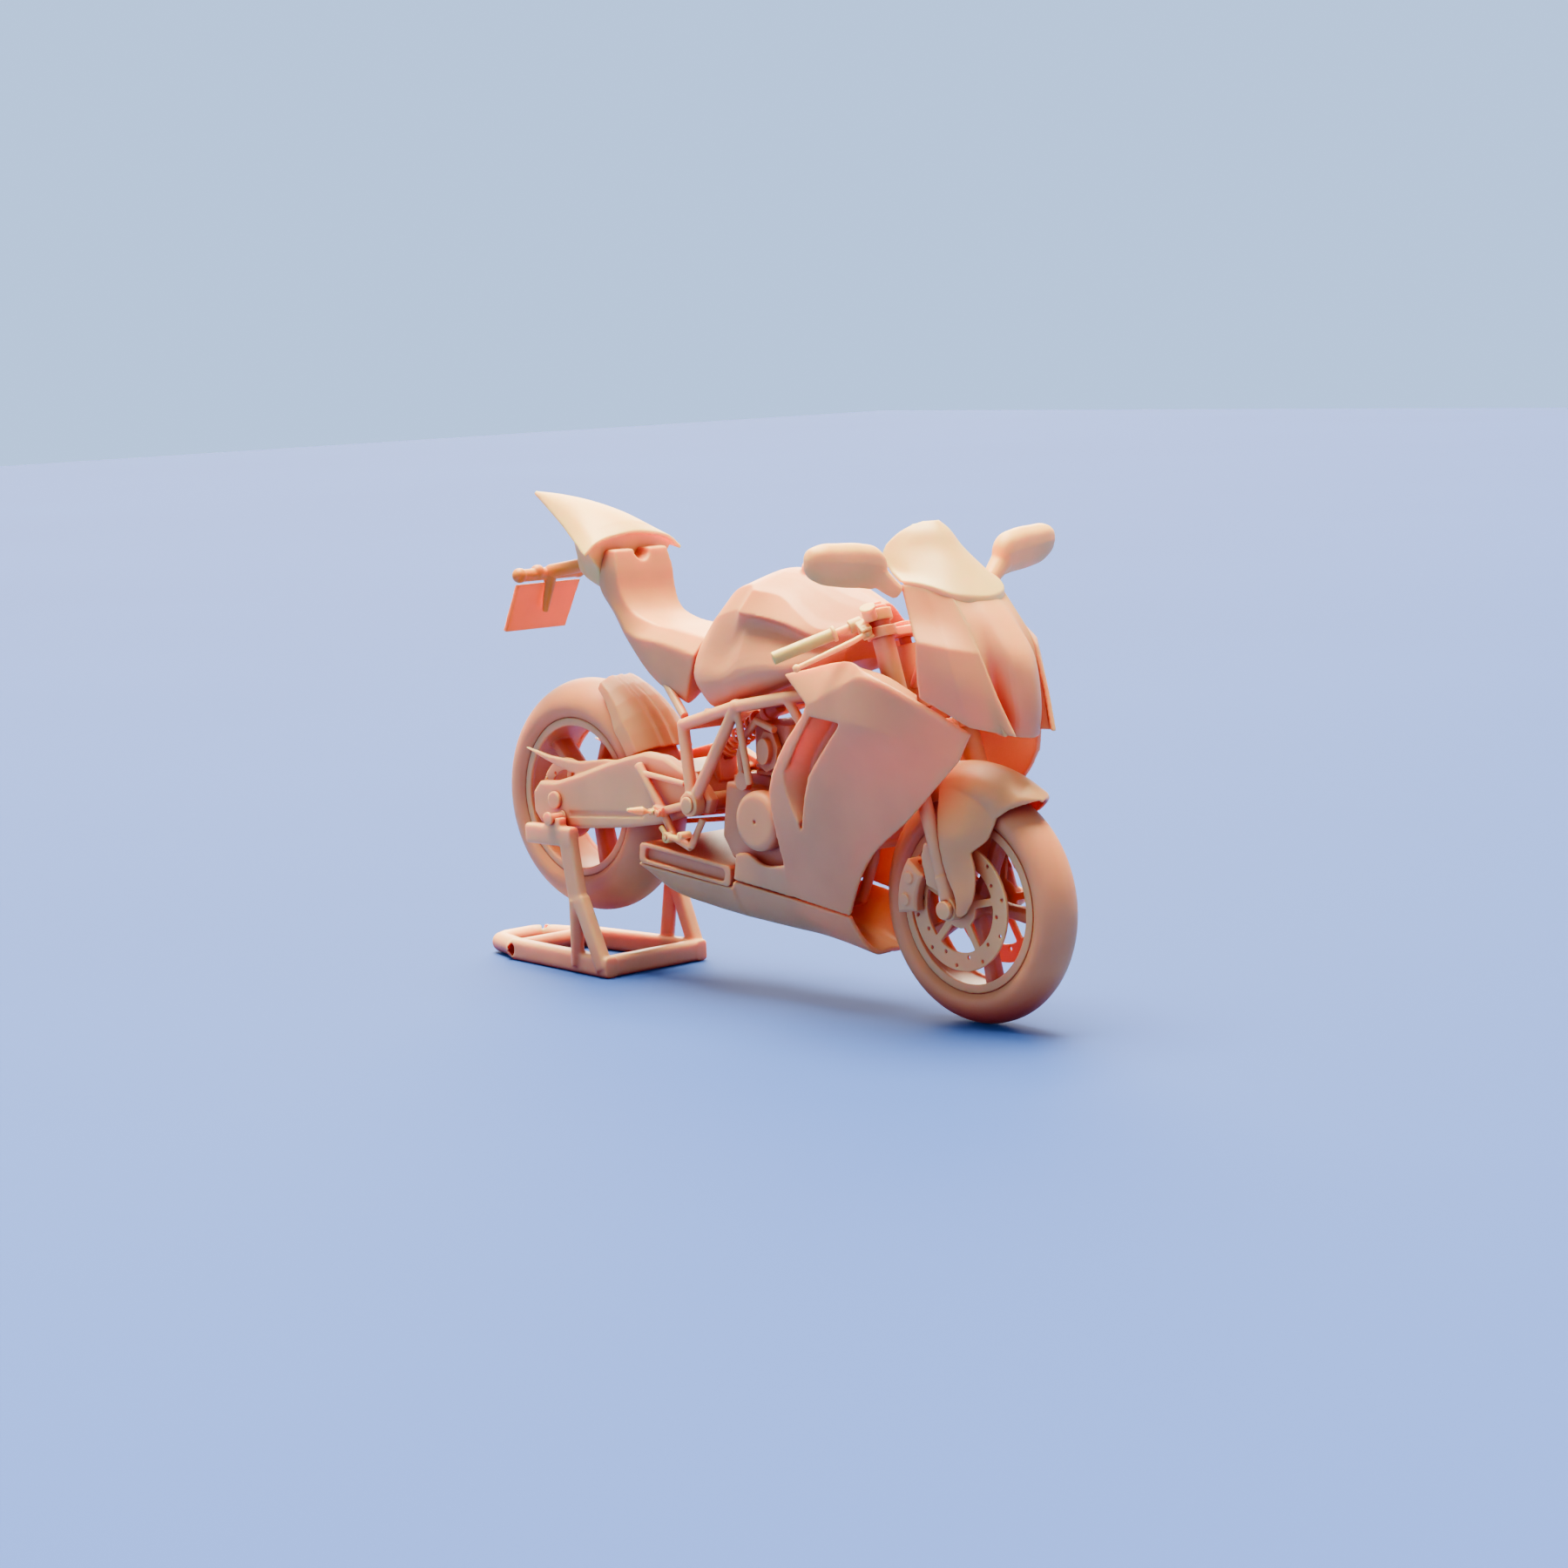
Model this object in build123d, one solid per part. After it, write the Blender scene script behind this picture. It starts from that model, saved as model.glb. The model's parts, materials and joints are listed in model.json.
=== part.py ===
"""A 1:12 display model of a faired twin-cylinder sport motorcycle, parked on a paddock stand.

Everything is in millimetres.  The machine is drawn level in its own frame: X forward, Y to its left,
Z up, with the origin on the ground below the rear axle.  place() then tips it nose-down by PITCH, which
is how it sits with its back wheel lifted, and moves it to the row frame, whose origin is on the ground
at the middle of the whole model.  Every sub-part goes to parts/NODE.step.
"""

from build123d import *
import os
from math import asin, atan2, cos, degrees, pi, radians, sin, sqrt, tan

# ---------------------------------------------------------------- driving dimensions
WHEELBASE = 121.7
REAR_R, REAR_W = 26.7, 15.4
FRONT_R, FRONT_W = 25.0, 10.0
RIM_SEAT = 18.2  # radius where a tyre sits on its rim
REAR_LIFT = 38.9  # height of the rear axle above the ground on the stand
RAKE = 23.5  # degrees
STEER_GROUND_X = 129.7  # where the steering axis meets the level ground
FORK_Y = 8.8  # half the distance between the fork legs
PIVOT_X, PIVOT_Z = 48.0, 34.4  # swingarm pivot
AXLE_R = 1.2
RUN = 0.06  # radial running clearance
SKIN = 1.1  # bodywork thickness
THIN_SKIN = 0.9  # screen, mudguards and small panels
TUBE_R = 1.35  # frame tubes
BAR_R = 1.35  # handlebar grips

FRONT_AXLE = (WHEELBASE, 0.0, FRONT_R)
REAR_AXLE = (0.0, 0.0, REAR_R)
_level_drop = (REAR_R - FRONT_R) / WHEELBASE
_parked_drop = (REAR_LIFT - FRONT_R) / WHEELBASE
PITCH = degrees(asin(_parked_drop) - asin(_level_drop))
ORIGIN_X = -56.55  # row frame X of the rear axle


def place(shape):
    """From the machine's level frame to the row frame."""
    return Pos(ORIGIN_X, 0, REAR_LIFT) * Rot(0, PITCH, 0) * Pos(0, 0, -REAR_R) * shape


def steer_x(z):
    """X of the steering axis at height z."""
    return STEER_GROUND_X - z * tan(radians(RAKE))


FORK_DIR = (-sin(radians(RAKE)), 0.0, cos(radians(RAKE)))
FORK_OFFSET = (WHEELBASE - steer_x(FRONT_R)) * cos(radians(RAKE))  # axle ahead of the steering axis


def fork_point(up, y=0.0, ahead=FORK_OFFSET):
    """A point up mm along the fork above the front axle and ahead mm in front of the steering axis."""
    base_x = WHEELBASE - FORK_OFFSET * cos(radians(RAKE))
    base_z = FRONT_R - FORK_OFFSET * sin(radians(RAKE))
    return (
        base_x + FORK_DIR[0] * up + ahead * cos(radians(RAKE)),
        y,
        base_z + FORK_DIR[2] * up + ahead * sin(radians(RAKE)),
    )


# ---------------------------------------------------------------- building blocks
def vec(p):
    return Vector(*p)


def rod(a, b, r, r2=None):
    """A straight round bar, or a cone, from a to b."""
    a, b = vec(a), vec(b)
    plane = Plane(origin=a, z_dir=(b - a))
    length = (b - a).length
    body = Cylinder(r, length) if r2 is None else Cone(r, r2, length)
    return plane.location * Pos(0, 0, length / 2) * body


def ball(p, r):
    return Pos(*p) * Sphere(r)


def fused(shapes):
    """One solid from several that overlap."""
    first, *rest = shapes
    return first.fuse(*rest) if rest else first


def tube_run(points, r):
    """A bar that follows points, with a ball at each corner."""
    bars = [rod(a, b, r) for a, b in zip(points, points[1:])]
    return fused(bars + [ball(p, r * 1.03) for p in points[1:-1]])


def y_cylinder(x, z, y0, y1, r):
    return rod((x, y0, z), (x, y1, z), r)


def plate(outline, y0, y1):
    """An (x, z) outline extruded from y0 to y1."""
    face = Face(Wire.make_polygon([vec((x, y0, z)) for x, z in outline]))
    return Solid(extrude(face, amount=y1 - y0, dir=(0, 1, 0)).wrapped)


def block(x0, x1, y0, y1, z0, z1):
    return Pos((x0 + x1) / 2, (y0 + y1) / 2, (z0 + z1) / 2) * Box(x1 - x0, y1 - y0, z1 - z0)


def rounded(shape, r):
    return fillet(shape.edges(), r)


def mirrored(shape):
    return shape.mirror(Plane.XZ)


def triangle(a, b, c):
    return Face(Wire.make_polygon([vec(a), vec(b), vec(c)]))


def closed_mesh(faces):
    solid = Solid(Shell(faces))
    return solid if solid.volume > 0 else Solid(Shell([-f for f in faces]))


def skin_between(ring_a, ring_b):
    """Triangles that join two closed rings of as many points."""
    made = []
    count = len(ring_a)
    for i in range(count):
        j = (i + 1) % count
        a, b, c, d = ring_a[i], ring_a[j], ring_b[j], ring_b[i]
        for tri in ((a, b, c), (a, c, d)):
            if (vec(tri[1]) - vec(tri[0])).cross(vec(tri[2]) - vec(tri[0])).length > 1e-6:
                made.append(triangle(*tri))
    return made


def cap(ring):
    """Triangles that close a ring, fanned from its middle."""
    middle = tuple(sum(p[i] for p in ring) / len(ring) for i in range(3))
    return [triangle(a, b, middle) for a, b in zip(ring, ring[1:] + ring[:1])]


def strip_cap(ring):
    """Closes a thin ring: outer points forward then inner points back, joined across."""
    half = len(ring) // 2
    outer, inner = ring[:half], ring[half:][::-1]
    made = []
    for i in range(half - 1):
        made += [triangle(outer[i], outer[i + 1], inner[i + 1]), triangle(outer[i], inner[i + 1], inner[i])]
    return made


def lofted(rings, caps=cap):
    """A closed solid through rings of points."""
    faces = caps(rings[0]) + caps(rings[-1])
    for a, b in zip(rings, rings[1:]):
        faces += skin_between(a, b)
    return closed_mesh(faces)


def normal_at(grid, i, j):
    """The surface's normal at a point of a grid of points."""
    rows, cols = len(grid), len(grid[0])
    along = vec(grid[i][min(j + 1, cols - 1)]) - vec(grid[i][max(j - 1, 0)])
    across = vec(grid[min(i + 1, rows - 1)][j]) - vec(grid[max(i - 1, 0)][j])
    return along.cross(across).normalized()


def panel(grid, core, depth=SKIN):
    """A bodywork panel: the outer surface is the grid, and its thickness goes towards the point core."""
    middle_row, middle_col = len(grid) // 2, len(grid[0]) // 2
    inward = vec(core) - vec(grid[middle_row][middle_col])
    signed = depth if normal_at(grid, middle_row, middle_col).dot(inward) > 0 else -depth
    rings = []
    for i, row in enumerate(grid):
        inner_row = [tuple(vec(p) + normal_at(grid, i, j) * signed) for j, p in enumerate(row)]
        rings.append(row + inner_row[::-1])
    return lofted(rings, strip_cap)


def both_sides(half):
    """Points from the right side to the left: a half section from its outer end to the middle, mirrored."""
    right = [(x, -y, z) for x, y, z in half]
    left = [(x, y, z) for x, y, z in reversed(half)]
    if abs(half[-1][1]) < 1e-9:
        left = left[1:]
    return right + left


def right_side(grid):
    """A grid drawn with y as the distance out, put on the machine's right side."""
    return [[(x, -y, z) for x, y, z in row] for row in grid]


parts = {}


def keep(name, *shapes):
    """Stores a sub-part, in the row frame."""
    solids = [place(s) for shape in shapes for s in (shape.solids() if hasattr(shape, "solids") else [shape])]
    parts[name] = solids[0] if len(solids) == 1 else Compound(children=solids)


# ---------------------------------------------------------------- wheels
def tyre(centre, radius, width):
    """A solid tyre with a round crown and a flat inner seat."""
    half = width / 2
    side_r = radius - 0.42 * width
    with_crown = [
        Line((RIM_SEAT, -half + 1.1), (RIM_SEAT + 1.2, -half + 0.2)),
        Spline(
            [
                (RIM_SEAT + 1.2, -half + 0.2),
                (side_r, -half),
                (radius - 0.1 * width, -half * 0.6),
                (radius, 0.0),
            ]
        ),
        Spline(
            [
                (radius, 0.0),
                (radius - 0.1 * width, half * 0.6),
                (side_r, half),
                (RIM_SEAT + 1.2, half - 0.2),
            ]
        ),
        Line((RIM_SEAT + 1.2, half - 0.2), (RIM_SEAT, half - 1.1)),
        Line((RIM_SEAT, half - 1.1), (RIM_SEAT, -half + 1.1)),
    ]
    return Pos(*centre) * revolve(make_face(with_crown), Axis.Y)


def ring(centre, r_in, r_out, y0, y1):
    """A flat ring about an axle."""
    x, _, z = centre
    return y_cylinder(x, z, y0, y1, r_out) - y_cylinder(x, z, y0 - 1, y1 + 1, r_in)


def turned(centre, angle, shape):
    """A shape turned about an axle, by angle degrees."""
    x, _, z = centre
    return Pos(x, 0, z) * Rot(0, angle, 0) * Pos(-x, 0, -z) * shape


def rim(centre, half_width, hub_half, spokes=5):
    """A cast wheel: barrel, two flanges, hub and tapered spokes, bored for its axle."""
    x, _, z = centre
    barrel = ring(centre, RIM_SEAT - 1.5, RIM_SEAT, -half_width, half_width)
    flanges = [
        ring(centre, RIM_SEAT - 1.9, RIM_SEAT, s * half_width - 0.5, s * half_width + 0.5) for s in (-1, 1)
    ]
    hub = y_cylinder(x, z, -hub_half, hub_half, 3.0)
    spoke = loft_bar(
        [(x, 0, z + 1.5), (x, 0, z + 8.0), (x, 0, z + RIM_SEAT - 1.0)],
        [(2.1, hub_half * 0.55), (1.35, hub_half * 0.36), (1.7, hub_half * 0.4)],
    )
    arms = [turned(centre, 360 / spokes * i + 18, spoke) for i in range(spokes)]
    body = fused([barrel, *flanges, hub, *arms])
    return body - y_cylinder(x, z, -hub_half - 1, hub_half + 1, AXLE_R + RUN)


def loft_bar(points, half_sizes):
    """A bar along Z through oblong sections of the given half sizes in X and Y."""
    rings = []
    for (x, y, z), (hx, hy) in zip(points, half_sizes):
        corners = [(-1, -0.5), (-0.5, -1), (0.5, -1), (1, -0.5), (1, 0.5), (0.5, 1), (-0.5, 1), (-1, 0.5)]
        rings.append([(x + hx * cx, y + hy * cy, z) for cx, cy in corners])
    return lofted(rings)


def brake_disc(centre, y, r_out, r_in, thickness, hub_r, holes):
    """A drilled rotor with a five-armed carrier that bolts to the hub."""
    x, _, z = centre
    y0, y1 = y - thickness / 2, y + thickness / 2
    rotor = ring(centre, r_in, r_out, y0, y1)
    hole_r = (r_out + r_in) / 2
    drills = []
    for i in range(holes):
        a = 2 * pi * i / holes
        reach = hole_r + (0.9 if i % 2 else -0.9)
        drills.append(y_cylinder(x + reach * cos(a), z + reach * sin(a), y0 - 1, y1 + 1, 0.42))
    rotor = rotor.cut(*drills)
    bell = ring(centre, AXLE_R + 0.8, hub_r, y0, y1)
    arm = block(x - 0.8, x + 0.8, y0, y1, z + hub_r - 0.6, z + r_in + 0.5)
    return fused([rotor, bell] + [turned(centre, 72 * i, arm) for i in range(5)])


FRONT_HUB, REAR_HUB = 5.2, 7.0
keep("front_rim", rim(FRONT_AXLE, 3.7, FRONT_HUB))
keep("front_tyre", tyre(FRONT_AXLE, FRONT_R, FRONT_W))
DISC_Y = 6.2
front_disc = brake_disc(FRONT_AXLE, DISC_Y, 13.3, 9.4, 0.8, 4.4, 20)
keep("front_discs", front_disc, mirrored(front_disc))
keep("rear_rim", rim(REAR_AXLE, 6.2, REAR_HUB))
keep("rear_tyre", tyre(REAR_AXLE, REAR_R, REAR_W))
REAR_DISC_Y = -8.5
keep("rear_disc", brake_disc(REAR_AXLE, REAR_DISC_Y, 9.2, 6.4, 0.7, 3.6, 16))
# both wheels' discs and the sprocket sit on spacers that belong to the hubs

# ---------------------------------------------------------------- chain drive, on the left
CHAIN_Y0, CHAIN_Y1 = 8.0, 9.2
FRONT_SPROCKET = (57.0, 0.0, 35.0)
REAR_PITCH_R, FRONT_PITCH_R = 8.1, 3.9


def toothed_wheel(centre, tip_r, root_r, bore_r, y0, y1, teeth):
    x, _, z = centre
    body = ring(centre, bore_r, root_r, y0, y1)
    half = pi / teeth * 0.55
    outline = [
        (x + root_r * 0.97 * sin(-half), z + root_r * 0.97 * cos(half)),
        (x + tip_r * sin(-half * 0.45), z + tip_r * cos(half * 0.45)),
        (x + tip_r * sin(half * 0.45), z + tip_r * cos(half * 0.45)),
        (x + root_r * 0.97 * sin(half), z + root_r * 0.97 * cos(half)),
    ]
    tooth = plate(outline, y0, y1)
    return fused([body] + [turned(centre, 360 / teeth * i, tooth) for i in range(teeth)])


def belt_loop(c1, r1, c2, r2, y0, y1):
    """The solid inside a belt round two wheels: two discs and the slab between their outer tangents."""
    (x1, _, z1), (x2, _, z2) = c1, c2
    dx, dz = x2 - x1, z2 - z1
    dist = sqrt(dx * dx + dz * dz)
    lean = asin((r1 - r2) / dist)
    along = atan2(dz, dx)
    outline = []
    for (x, z, r), side in (((x1, z1, r1), 1), ((x2, z2, r2), 1), ((x2, z2, r2), -1), ((x1, z1, r1), -1)):
        a = along + side * (pi / 2 - lean)
        outline.append((x + r * cos(a), z + r * sin(a)))
    slab = plate(outline, y0, y1)
    return fused([slab, y_cylinder(x1, z1, y0, y1, r1), y_cylinder(x2, z2, y0, y1, r2)])


CHAIN_HALF = 0.55
chain = belt_loop(
    REAR_AXLE, REAR_PITCH_R + CHAIN_HALF, FRONT_SPROCKET, FRONT_PITCH_R + CHAIN_HALF, CHAIN_Y0, CHAIN_Y1
)
chain -= belt_loop(
    REAR_AXLE,
    REAR_PITCH_R - CHAIN_HALF,
    FRONT_SPROCKET,
    FRONT_PITCH_R - CHAIN_HALF,
    CHAIN_Y0 - 1,
    CHAIN_Y1 + 1,
)
keep("chain", chain)
rear_sprocket = toothed_wheel(REAR_AXLE, 7.3, 6.7, AXLE_R + 0.8, 8.3, 8.9, 38)
for i in range(5):
    rear_sprocket -= turned(REAR_AXLE, 72 * i, y_cylinder(0, REAR_R + 5.0, 8, 9.2, 1.0))
keep("rear_sprocket", rear_sprocket)
front_sprocket = toothed_wheel(FRONT_SPROCKET, 2.6, 2.2, 0.9, 8.3, 8.9, 17)
keep("front_sprocket", front_sprocket + y_cylinder(57, 35, 7.3, 9.3, 0.9))

# ---------------------------------------------------------------- swingarm group
ARM_IN, ARM_OUT = 9.6, 12.5
arm_outline = [
    (-8.7, 27.2), (-8.0, 22.6), (-5.6, 20.5), (-1.0, 20.0), (6.0, 21.0), (24.0, 24.5), (34.0, 27.0),
    (44.5, 31.2), (50.4, 32.4), (51.4, 35.6), (48.6, 38.2), (43.0, 40.6), (36.0, 42.6), (29.0, 42.5),
    (18.0, 38.6), (8.0, 34.2),
    (-1.0, 30.8), (-6.5, 30.0),
]  # fmt: skip
SPOOL = (2.2, 23.2)
SHOCK_FOOT, SHOCK_TOP = (41.5, 0.0, 43.3), (60.2, 0.0, 57.3)
SPOOL_R = 1.1
arm = plate(arm_outline, ARM_IN, ARM_OUT)
arm = chamfer(
    arm.edges().filter_by(Axis.Y, reverse=True).filter_by(lambda e: abs(e.center().Y - ARM_OUT) < 0.01), 0.7
)
groove = rod((4.5, ARM_OUT + 0.35, 24.3), (30.0, ARM_OUT + 0.35, 28.6), 0.8)
arm = arm - groove
fin = plate(
    [
        (-14.5, 36.6), (-5.0, 35.9), (5.0, 36.2), (14.0, 38.2), (20.0, 39.0), (8.0, 33.8), (3.0, 33.2),
        (-6.0, 34.6),
    ],
    9.8,
    10.9,
)
arm = fused([arm, fin])
arms = [arm, mirrored(arm)]
cross = plate(
    [(30.5, 28.5), (41.5, 30.6), (46.0, 34.0), (41.5, 39.8), (31.5, 40.2), (29.6, 34.0)],
    -ARM_IN - 0.2,
    ARM_IN + 0.2,
)
chain_window = belt_loop(
    REAR_AXLE, REAR_PITCH_R + 1.2, FRONT_SPROCKET, FRONT_PITCH_R + 1.2, CHAIN_Y0 - 0.4, ARM_IN - 0.02
) - belt_loop(REAR_AXLE, REAR_PITCH_R - 1.2, FRONT_SPROCKET, FRONT_PITCH_R - 1.2, 0, 20)
pivot_tube = y_cylinder(PIVOT_X, PIVOT_Z, -ARM_OUT, ARM_OUT, 2.0)
swingarm = fused([*arms, cross - chain_window, pivot_tube])
swingarm -= y_cylinder(PIVOT_X, PIVOT_Z, -20, 20, AXLE_R + RUN)
swingarm -= y_cylinder(0, REAR_R, -20, 20, AXLE_R)
for side in (-1, 1):
    swingarm -= y_cylinder(*SPOOL, side * (ARM_IN + 0.6), side * 20, SPOOL_R)
lug = plate([(38.0, 39.0), (44.0, 37.5), (43.4, 43.6), (42.2, 44.8), (40.6, 44.6)], -2.6, 2.6)
lug -= rod((SHOCK_FOOT[0], -1.3, SHOCK_FOOT[2]), (SHOCK_FOOT[0], 1.3, SHOCK_FOOT[2]), 2.3)
swingarm = swingarm.fuse(lug) - y_cylinder(SHOCK_FOOT[0], SHOCK_FOOT[2], -3, 3, 0.5)
keep("swingarm", swingarm)
rear_axle = fused(
    [y_cylinder(0, REAR_R, -13.2, 13.2, AXLE_R)]
    + [y_cylinder(0, REAR_R, s * ARM_OUT, s * 13.5, 2.0) for s in (-1, 1)]
)
keep("rear_axle", rear_axle)
spool = fused(
    [
        y_cylinder(*SPOOL, ARM_IN + 0.6, 16.4, SPOOL_R),
        y_cylinder(*SPOOL, 16.3, 17.0, 1.5),
        y_cylinder(*SPOOL, ARM_OUT, ARM_OUT + 0.5, 1.6),
    ]
)
shock_pin = y_cylinder(SHOCK_FOOT[0], SHOCK_FOOT[2], -2.6, 2.6, 0.5)
keep("swingarm_pins", spool, mirrored(spool), shock_pin)


def around(centre, radius, angle, y):
    """A point on a circle about an axle: angle 0 is straight ahead, 90 straight up."""
    x, _, z = centre
    return (x + radius * cos(radians(angle)), y, z + radius * sin(radians(angle)))


HUGGER_RADII = [(8.9, 23.3), (8.4, 26.6), (5.6, 28.6), (3.6, 29.6), (1.7, 28.9), (0.0, 29.8)]
hugger_grid = []
for angle in (32, 41, 50, 59, 68, 77):
    narrow = 1.0 - 0.30 * max(0, angle - 50) / 27
    half = [
        around(REAR_AXLE, r + (29.8 - r) * (1 - narrow) * 1.7, angle, y * narrow) for y, r in HUGGER_RADII
    ]
    hugger_grid.append(both_sides(half)[::-1])
hugger = panel(hugger_grid, REAR_AXLE, THIN_SKIN)
chain_space = belt_loop(
    REAR_AXLE, REAR_PITCH_R + 1.2, FRONT_SPROCKET, FRONT_PITCH_R + 1.2, CHAIN_Y0 - 0.3, 12.0
)
arm_space = plate(arm_outline, ARM_IN - 0.3, 14)
hugger = hugger - chain_space - arm_space - mirrored(arm_space)
keep("hugger", hugger)

# ---------------------------------------------------------------- shock absorber
SHOCK_LEN = (vec(SHOCK_TOP) - vec(SHOCK_FOOT)).length
SHOCK_PLANE = Plane(origin=vec(SHOCK_FOOT), z_dir=vec(SHOCK_TOP) - vec(SHOCK_FOOT))
SHOCK_ROD_R, COIL_R, WIRE_R = 0.75, 2.1, 0.38
SEAT_LOW, SEAT_HIGH = 3.2, 14.2


def on_shock(shape):
    return SHOCK_PLANE.location * shape


def disc(r, z0, z1):
    return Pos(0, 0, (z0 + z1) / 2) * Cylinder(r, z1 - z0)


shock_body = fused(
    [disc(1.65, 11.5, SHOCK_LEN - 1.0), disc(2.6, SEAT_HIGH, SEAT_HIGH + 0.8), disc(2.1, 17.5, 19.0)]
)
shock_body -= disc(SHOCK_ROD_R + RUN, 10, 20.0)
shock_body = on_shock(shock_body)
shock_body -= y_cylinder(60.8, 58.0, -5, 5, TUBE_R)
keep("shock_body", shock_body)
shock_rod = fused(
    [disc(SHOCK_ROD_R, 1.2, 17.0), disc(2.6, SEAT_LOW - 0.8, SEAT_LOW), disc(1.1, 1.0, SEAT_LOW)]
)
shock_rod = fused([on_shock(shock_rod), y_cylinder(SHOCK_FOOT[0], SHOCK_FOOT[2], -1.1, 1.1, 1.5)])
keep("shock_rod", shock_rod - y_cylinder(SHOCK_FOOT[0], SHOCK_FOOT[2], -3, 3, 0.5 + 0.12))
coil_rise = SEAT_HIGH - SEAT_LOW - 2 * WIRE_R - 0.1
helix = Helix(pitch=coil_rise / 6, height=coil_rise, radius=COIL_R)
wire = sweep(Plane(origin=helix @ 0, z_dir=helix % 0) * Circle(WIRE_R), path=helix)
keep("shock_spring", on_shock(Pos(0, 0, SEAT_LOW + WIRE_R + 0.05) * wire))

# ---------------------------------------------------------------- frame
REAR_NODE = (42.8, 13.0, 51.0)
TOP_NODE = (60.8, 14.2, 58.0)
PIVOT_NODE = (PIVOT_X, 14.2, PIVOT_Z)
ENGINE_NODE = (64.8, 13.2, 41.5)
SHOULDER_NODE = (75.0, 13.0, 62.0)
FRONT_NODE = (82.5, 10.6, 51.5)
HEAD_NODE = (98.6, 2.0, 68.0)
LOW_HEAD_NODE = (100.6, 2.0, 64.0)
HEAD_R = 2.7
HEAD_Z0, HEAD_Z1 = 62.6, 75.2


def steer_point(z, y=0.0):
    return (steer_x(z), y, z)


side_tubes = [
    tube_run([PIVOT_NODE, REAR_NODE, TOP_NODE, PIVOT_NODE], TUBE_R),
    tube_run([TOP_NODE, SHOULDER_NODE, HEAD_NODE], TUBE_R),
    tube_run([TOP_NODE, ENGINE_NODE], 0.8),
    tube_run([SHOULDER_NODE, FRONT_NODE, LOW_HEAD_NODE], 1.1),
    tube_run([(51.5, 13.6, 54.4), (51.5, 13.6, 56.0)], 0.9),
    y_cylinder(PIVOT_X, PIVOT_Z, ARM_OUT + 0.35, 15.7, 2.7),
    ball(TOP_NODE, 1.6),
]
frame_side = fused(side_tubes)
main_frame = fused(
    [
        frame_side,
        mirrored(frame_side),
        rod(steer_point(HEAD_Z0), steer_point(HEAD_Z1), HEAD_R),
        rod((42.8, -13, 51), (42.8, 13, 51), TUBE_R),
        rod((60.8, -14.2, 58), (60.8, 14.2, 58), TUBE_R),
    ]
)
STEM_R = 1.3
main_frame -= rod(steer_point(55), steer_point(85), STEM_R + RUN)
main_frame -= y_cylinder(PIVOT_X, PIVOT_Z, -20, 20, AXLE_R)
keep("main_frame", main_frame)
pivot_axle = fused(
    [y_cylinder(PIVOT_X, PIVOT_Z, -15.7, 15.7, AXLE_R)]
    + [y_cylinder(PIVOT_X, PIVOT_Z, s * 15.7, s * 16.3, 1.8) for s in (-1, 1)]
)
keep("pivot_axle", pivot_axle)

rail = tube_run([(41.2, 11.2, 52.4), (27.0, 6.4, 60.0), (15.0, 5.0, 71.0)], 1.0)
subframe = fused([rail, mirrored(rail), rod((27.0, -6.4, 60.0), (27.0, 6.4, 60.0), 0.9)])
keep("subframe", subframe)

# ---------------------------------------------------------------- engine
case_outline = [
    (52.8, 27.0), (55.0, 23.0), (60.0, 22.6), (62.0, 20.0), (78.0, 20.0), (82.2, 25.0), (81.0, 36.0),
    (76.0, 40.6),
    (72.4, 42.6), (60.0, 42.6), (52.8, 41.0),
]  # fmt: skip
engine = plate(case_outline, -7.0, 7.0)
engine = fused(
    [
        engine,
        plate(
            [
                (53.4, 28.0), (57.0, 23.6), (78.0, 22.0), (81.4, 27.0), (80.2, 35.0), (74.0, 40.4),
                (54.0, 40.0),
            ],
            -10.6,
            -6,
        ),
        plate([(63.5, 22.5), (78.0, 22.5), (81.4, 27.0), (80.2, 35.0), (74.0, 40.4), (63.5, 40.4)], 6, 10.6),
    ]
)
engine = chamfer(engine.edges().filter_by(lambda e: abs(abs(e.center().Y) - 10.6) < 0.01), 0.8)
engine -= y_cylinder(57, 35, 6.0, 8.0, 0.9)
keep("engine_block", engine)


def round_cover(x, z, r, y0, y1, edge):
    """A cast cover: a disc with a soft outer edge, on the right side."""
    body = y_cylinder(x, z, y0, y1, r)
    outer = body.edges().filter_by(lambda e: abs(e.center().Y - y1) < 0.01)
    return fillet(outer, edge)


clutch = fused([round_cover(68.3, 34.2, 6.5, 10.6, 14.9, 1.6), y_cylinder(62.4, 31.0, 10.6, 12.8, 1.3)])
clutch -= y_cylinder(68.3, 34.2, 14.2, 16, 0.45)
keep("clutch_cover", mirrored(clutch))
generator = fused([round_cover(71.0, 32.5, 7.0, 10.6, 13.6, 1.4), y_cylinder(71, 32.5, 13.0, 14.4, 3.0)])
over_sprocket = plate(
    [(55.0, 27.0), (60.5, 26.5), (62.8, 31.0), (62.8, 39.5), (57.0, 41.0), (54.2, 38.0)], 10.0, 11.6
)
keep("left_engine_covers", generator, over_sprocket)


def finned_barrel(base, top, half_x, half_y, fins, gap):
    """A cylinder with its head: a rounded block along base-top with cooling fins cut in."""
    axis = vec(top) - vec(base)
    frame = Plane(origin=vec(base), x_dir=(axis.Z, 0, -axis.X), z_dir=axis)
    length = axis.length
    core = Pos(0, 0, length / 2) * Box(2 * half_x, 2 * half_y, length)
    core = fillet(core.edges().filter_by(Axis.Z), 1.4)
    slots = [
        Pos(0, 0, 1.2 + i * gap) * (
            Box(4 * half_x, 4 * half_y, gap * 0.45) - Box(2 * half_x - 1.6, 2 * half_y - 1.6, gap)
        )
        for i in range(fins)
    ]
    return frame.location * core.cut(*slots)


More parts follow.
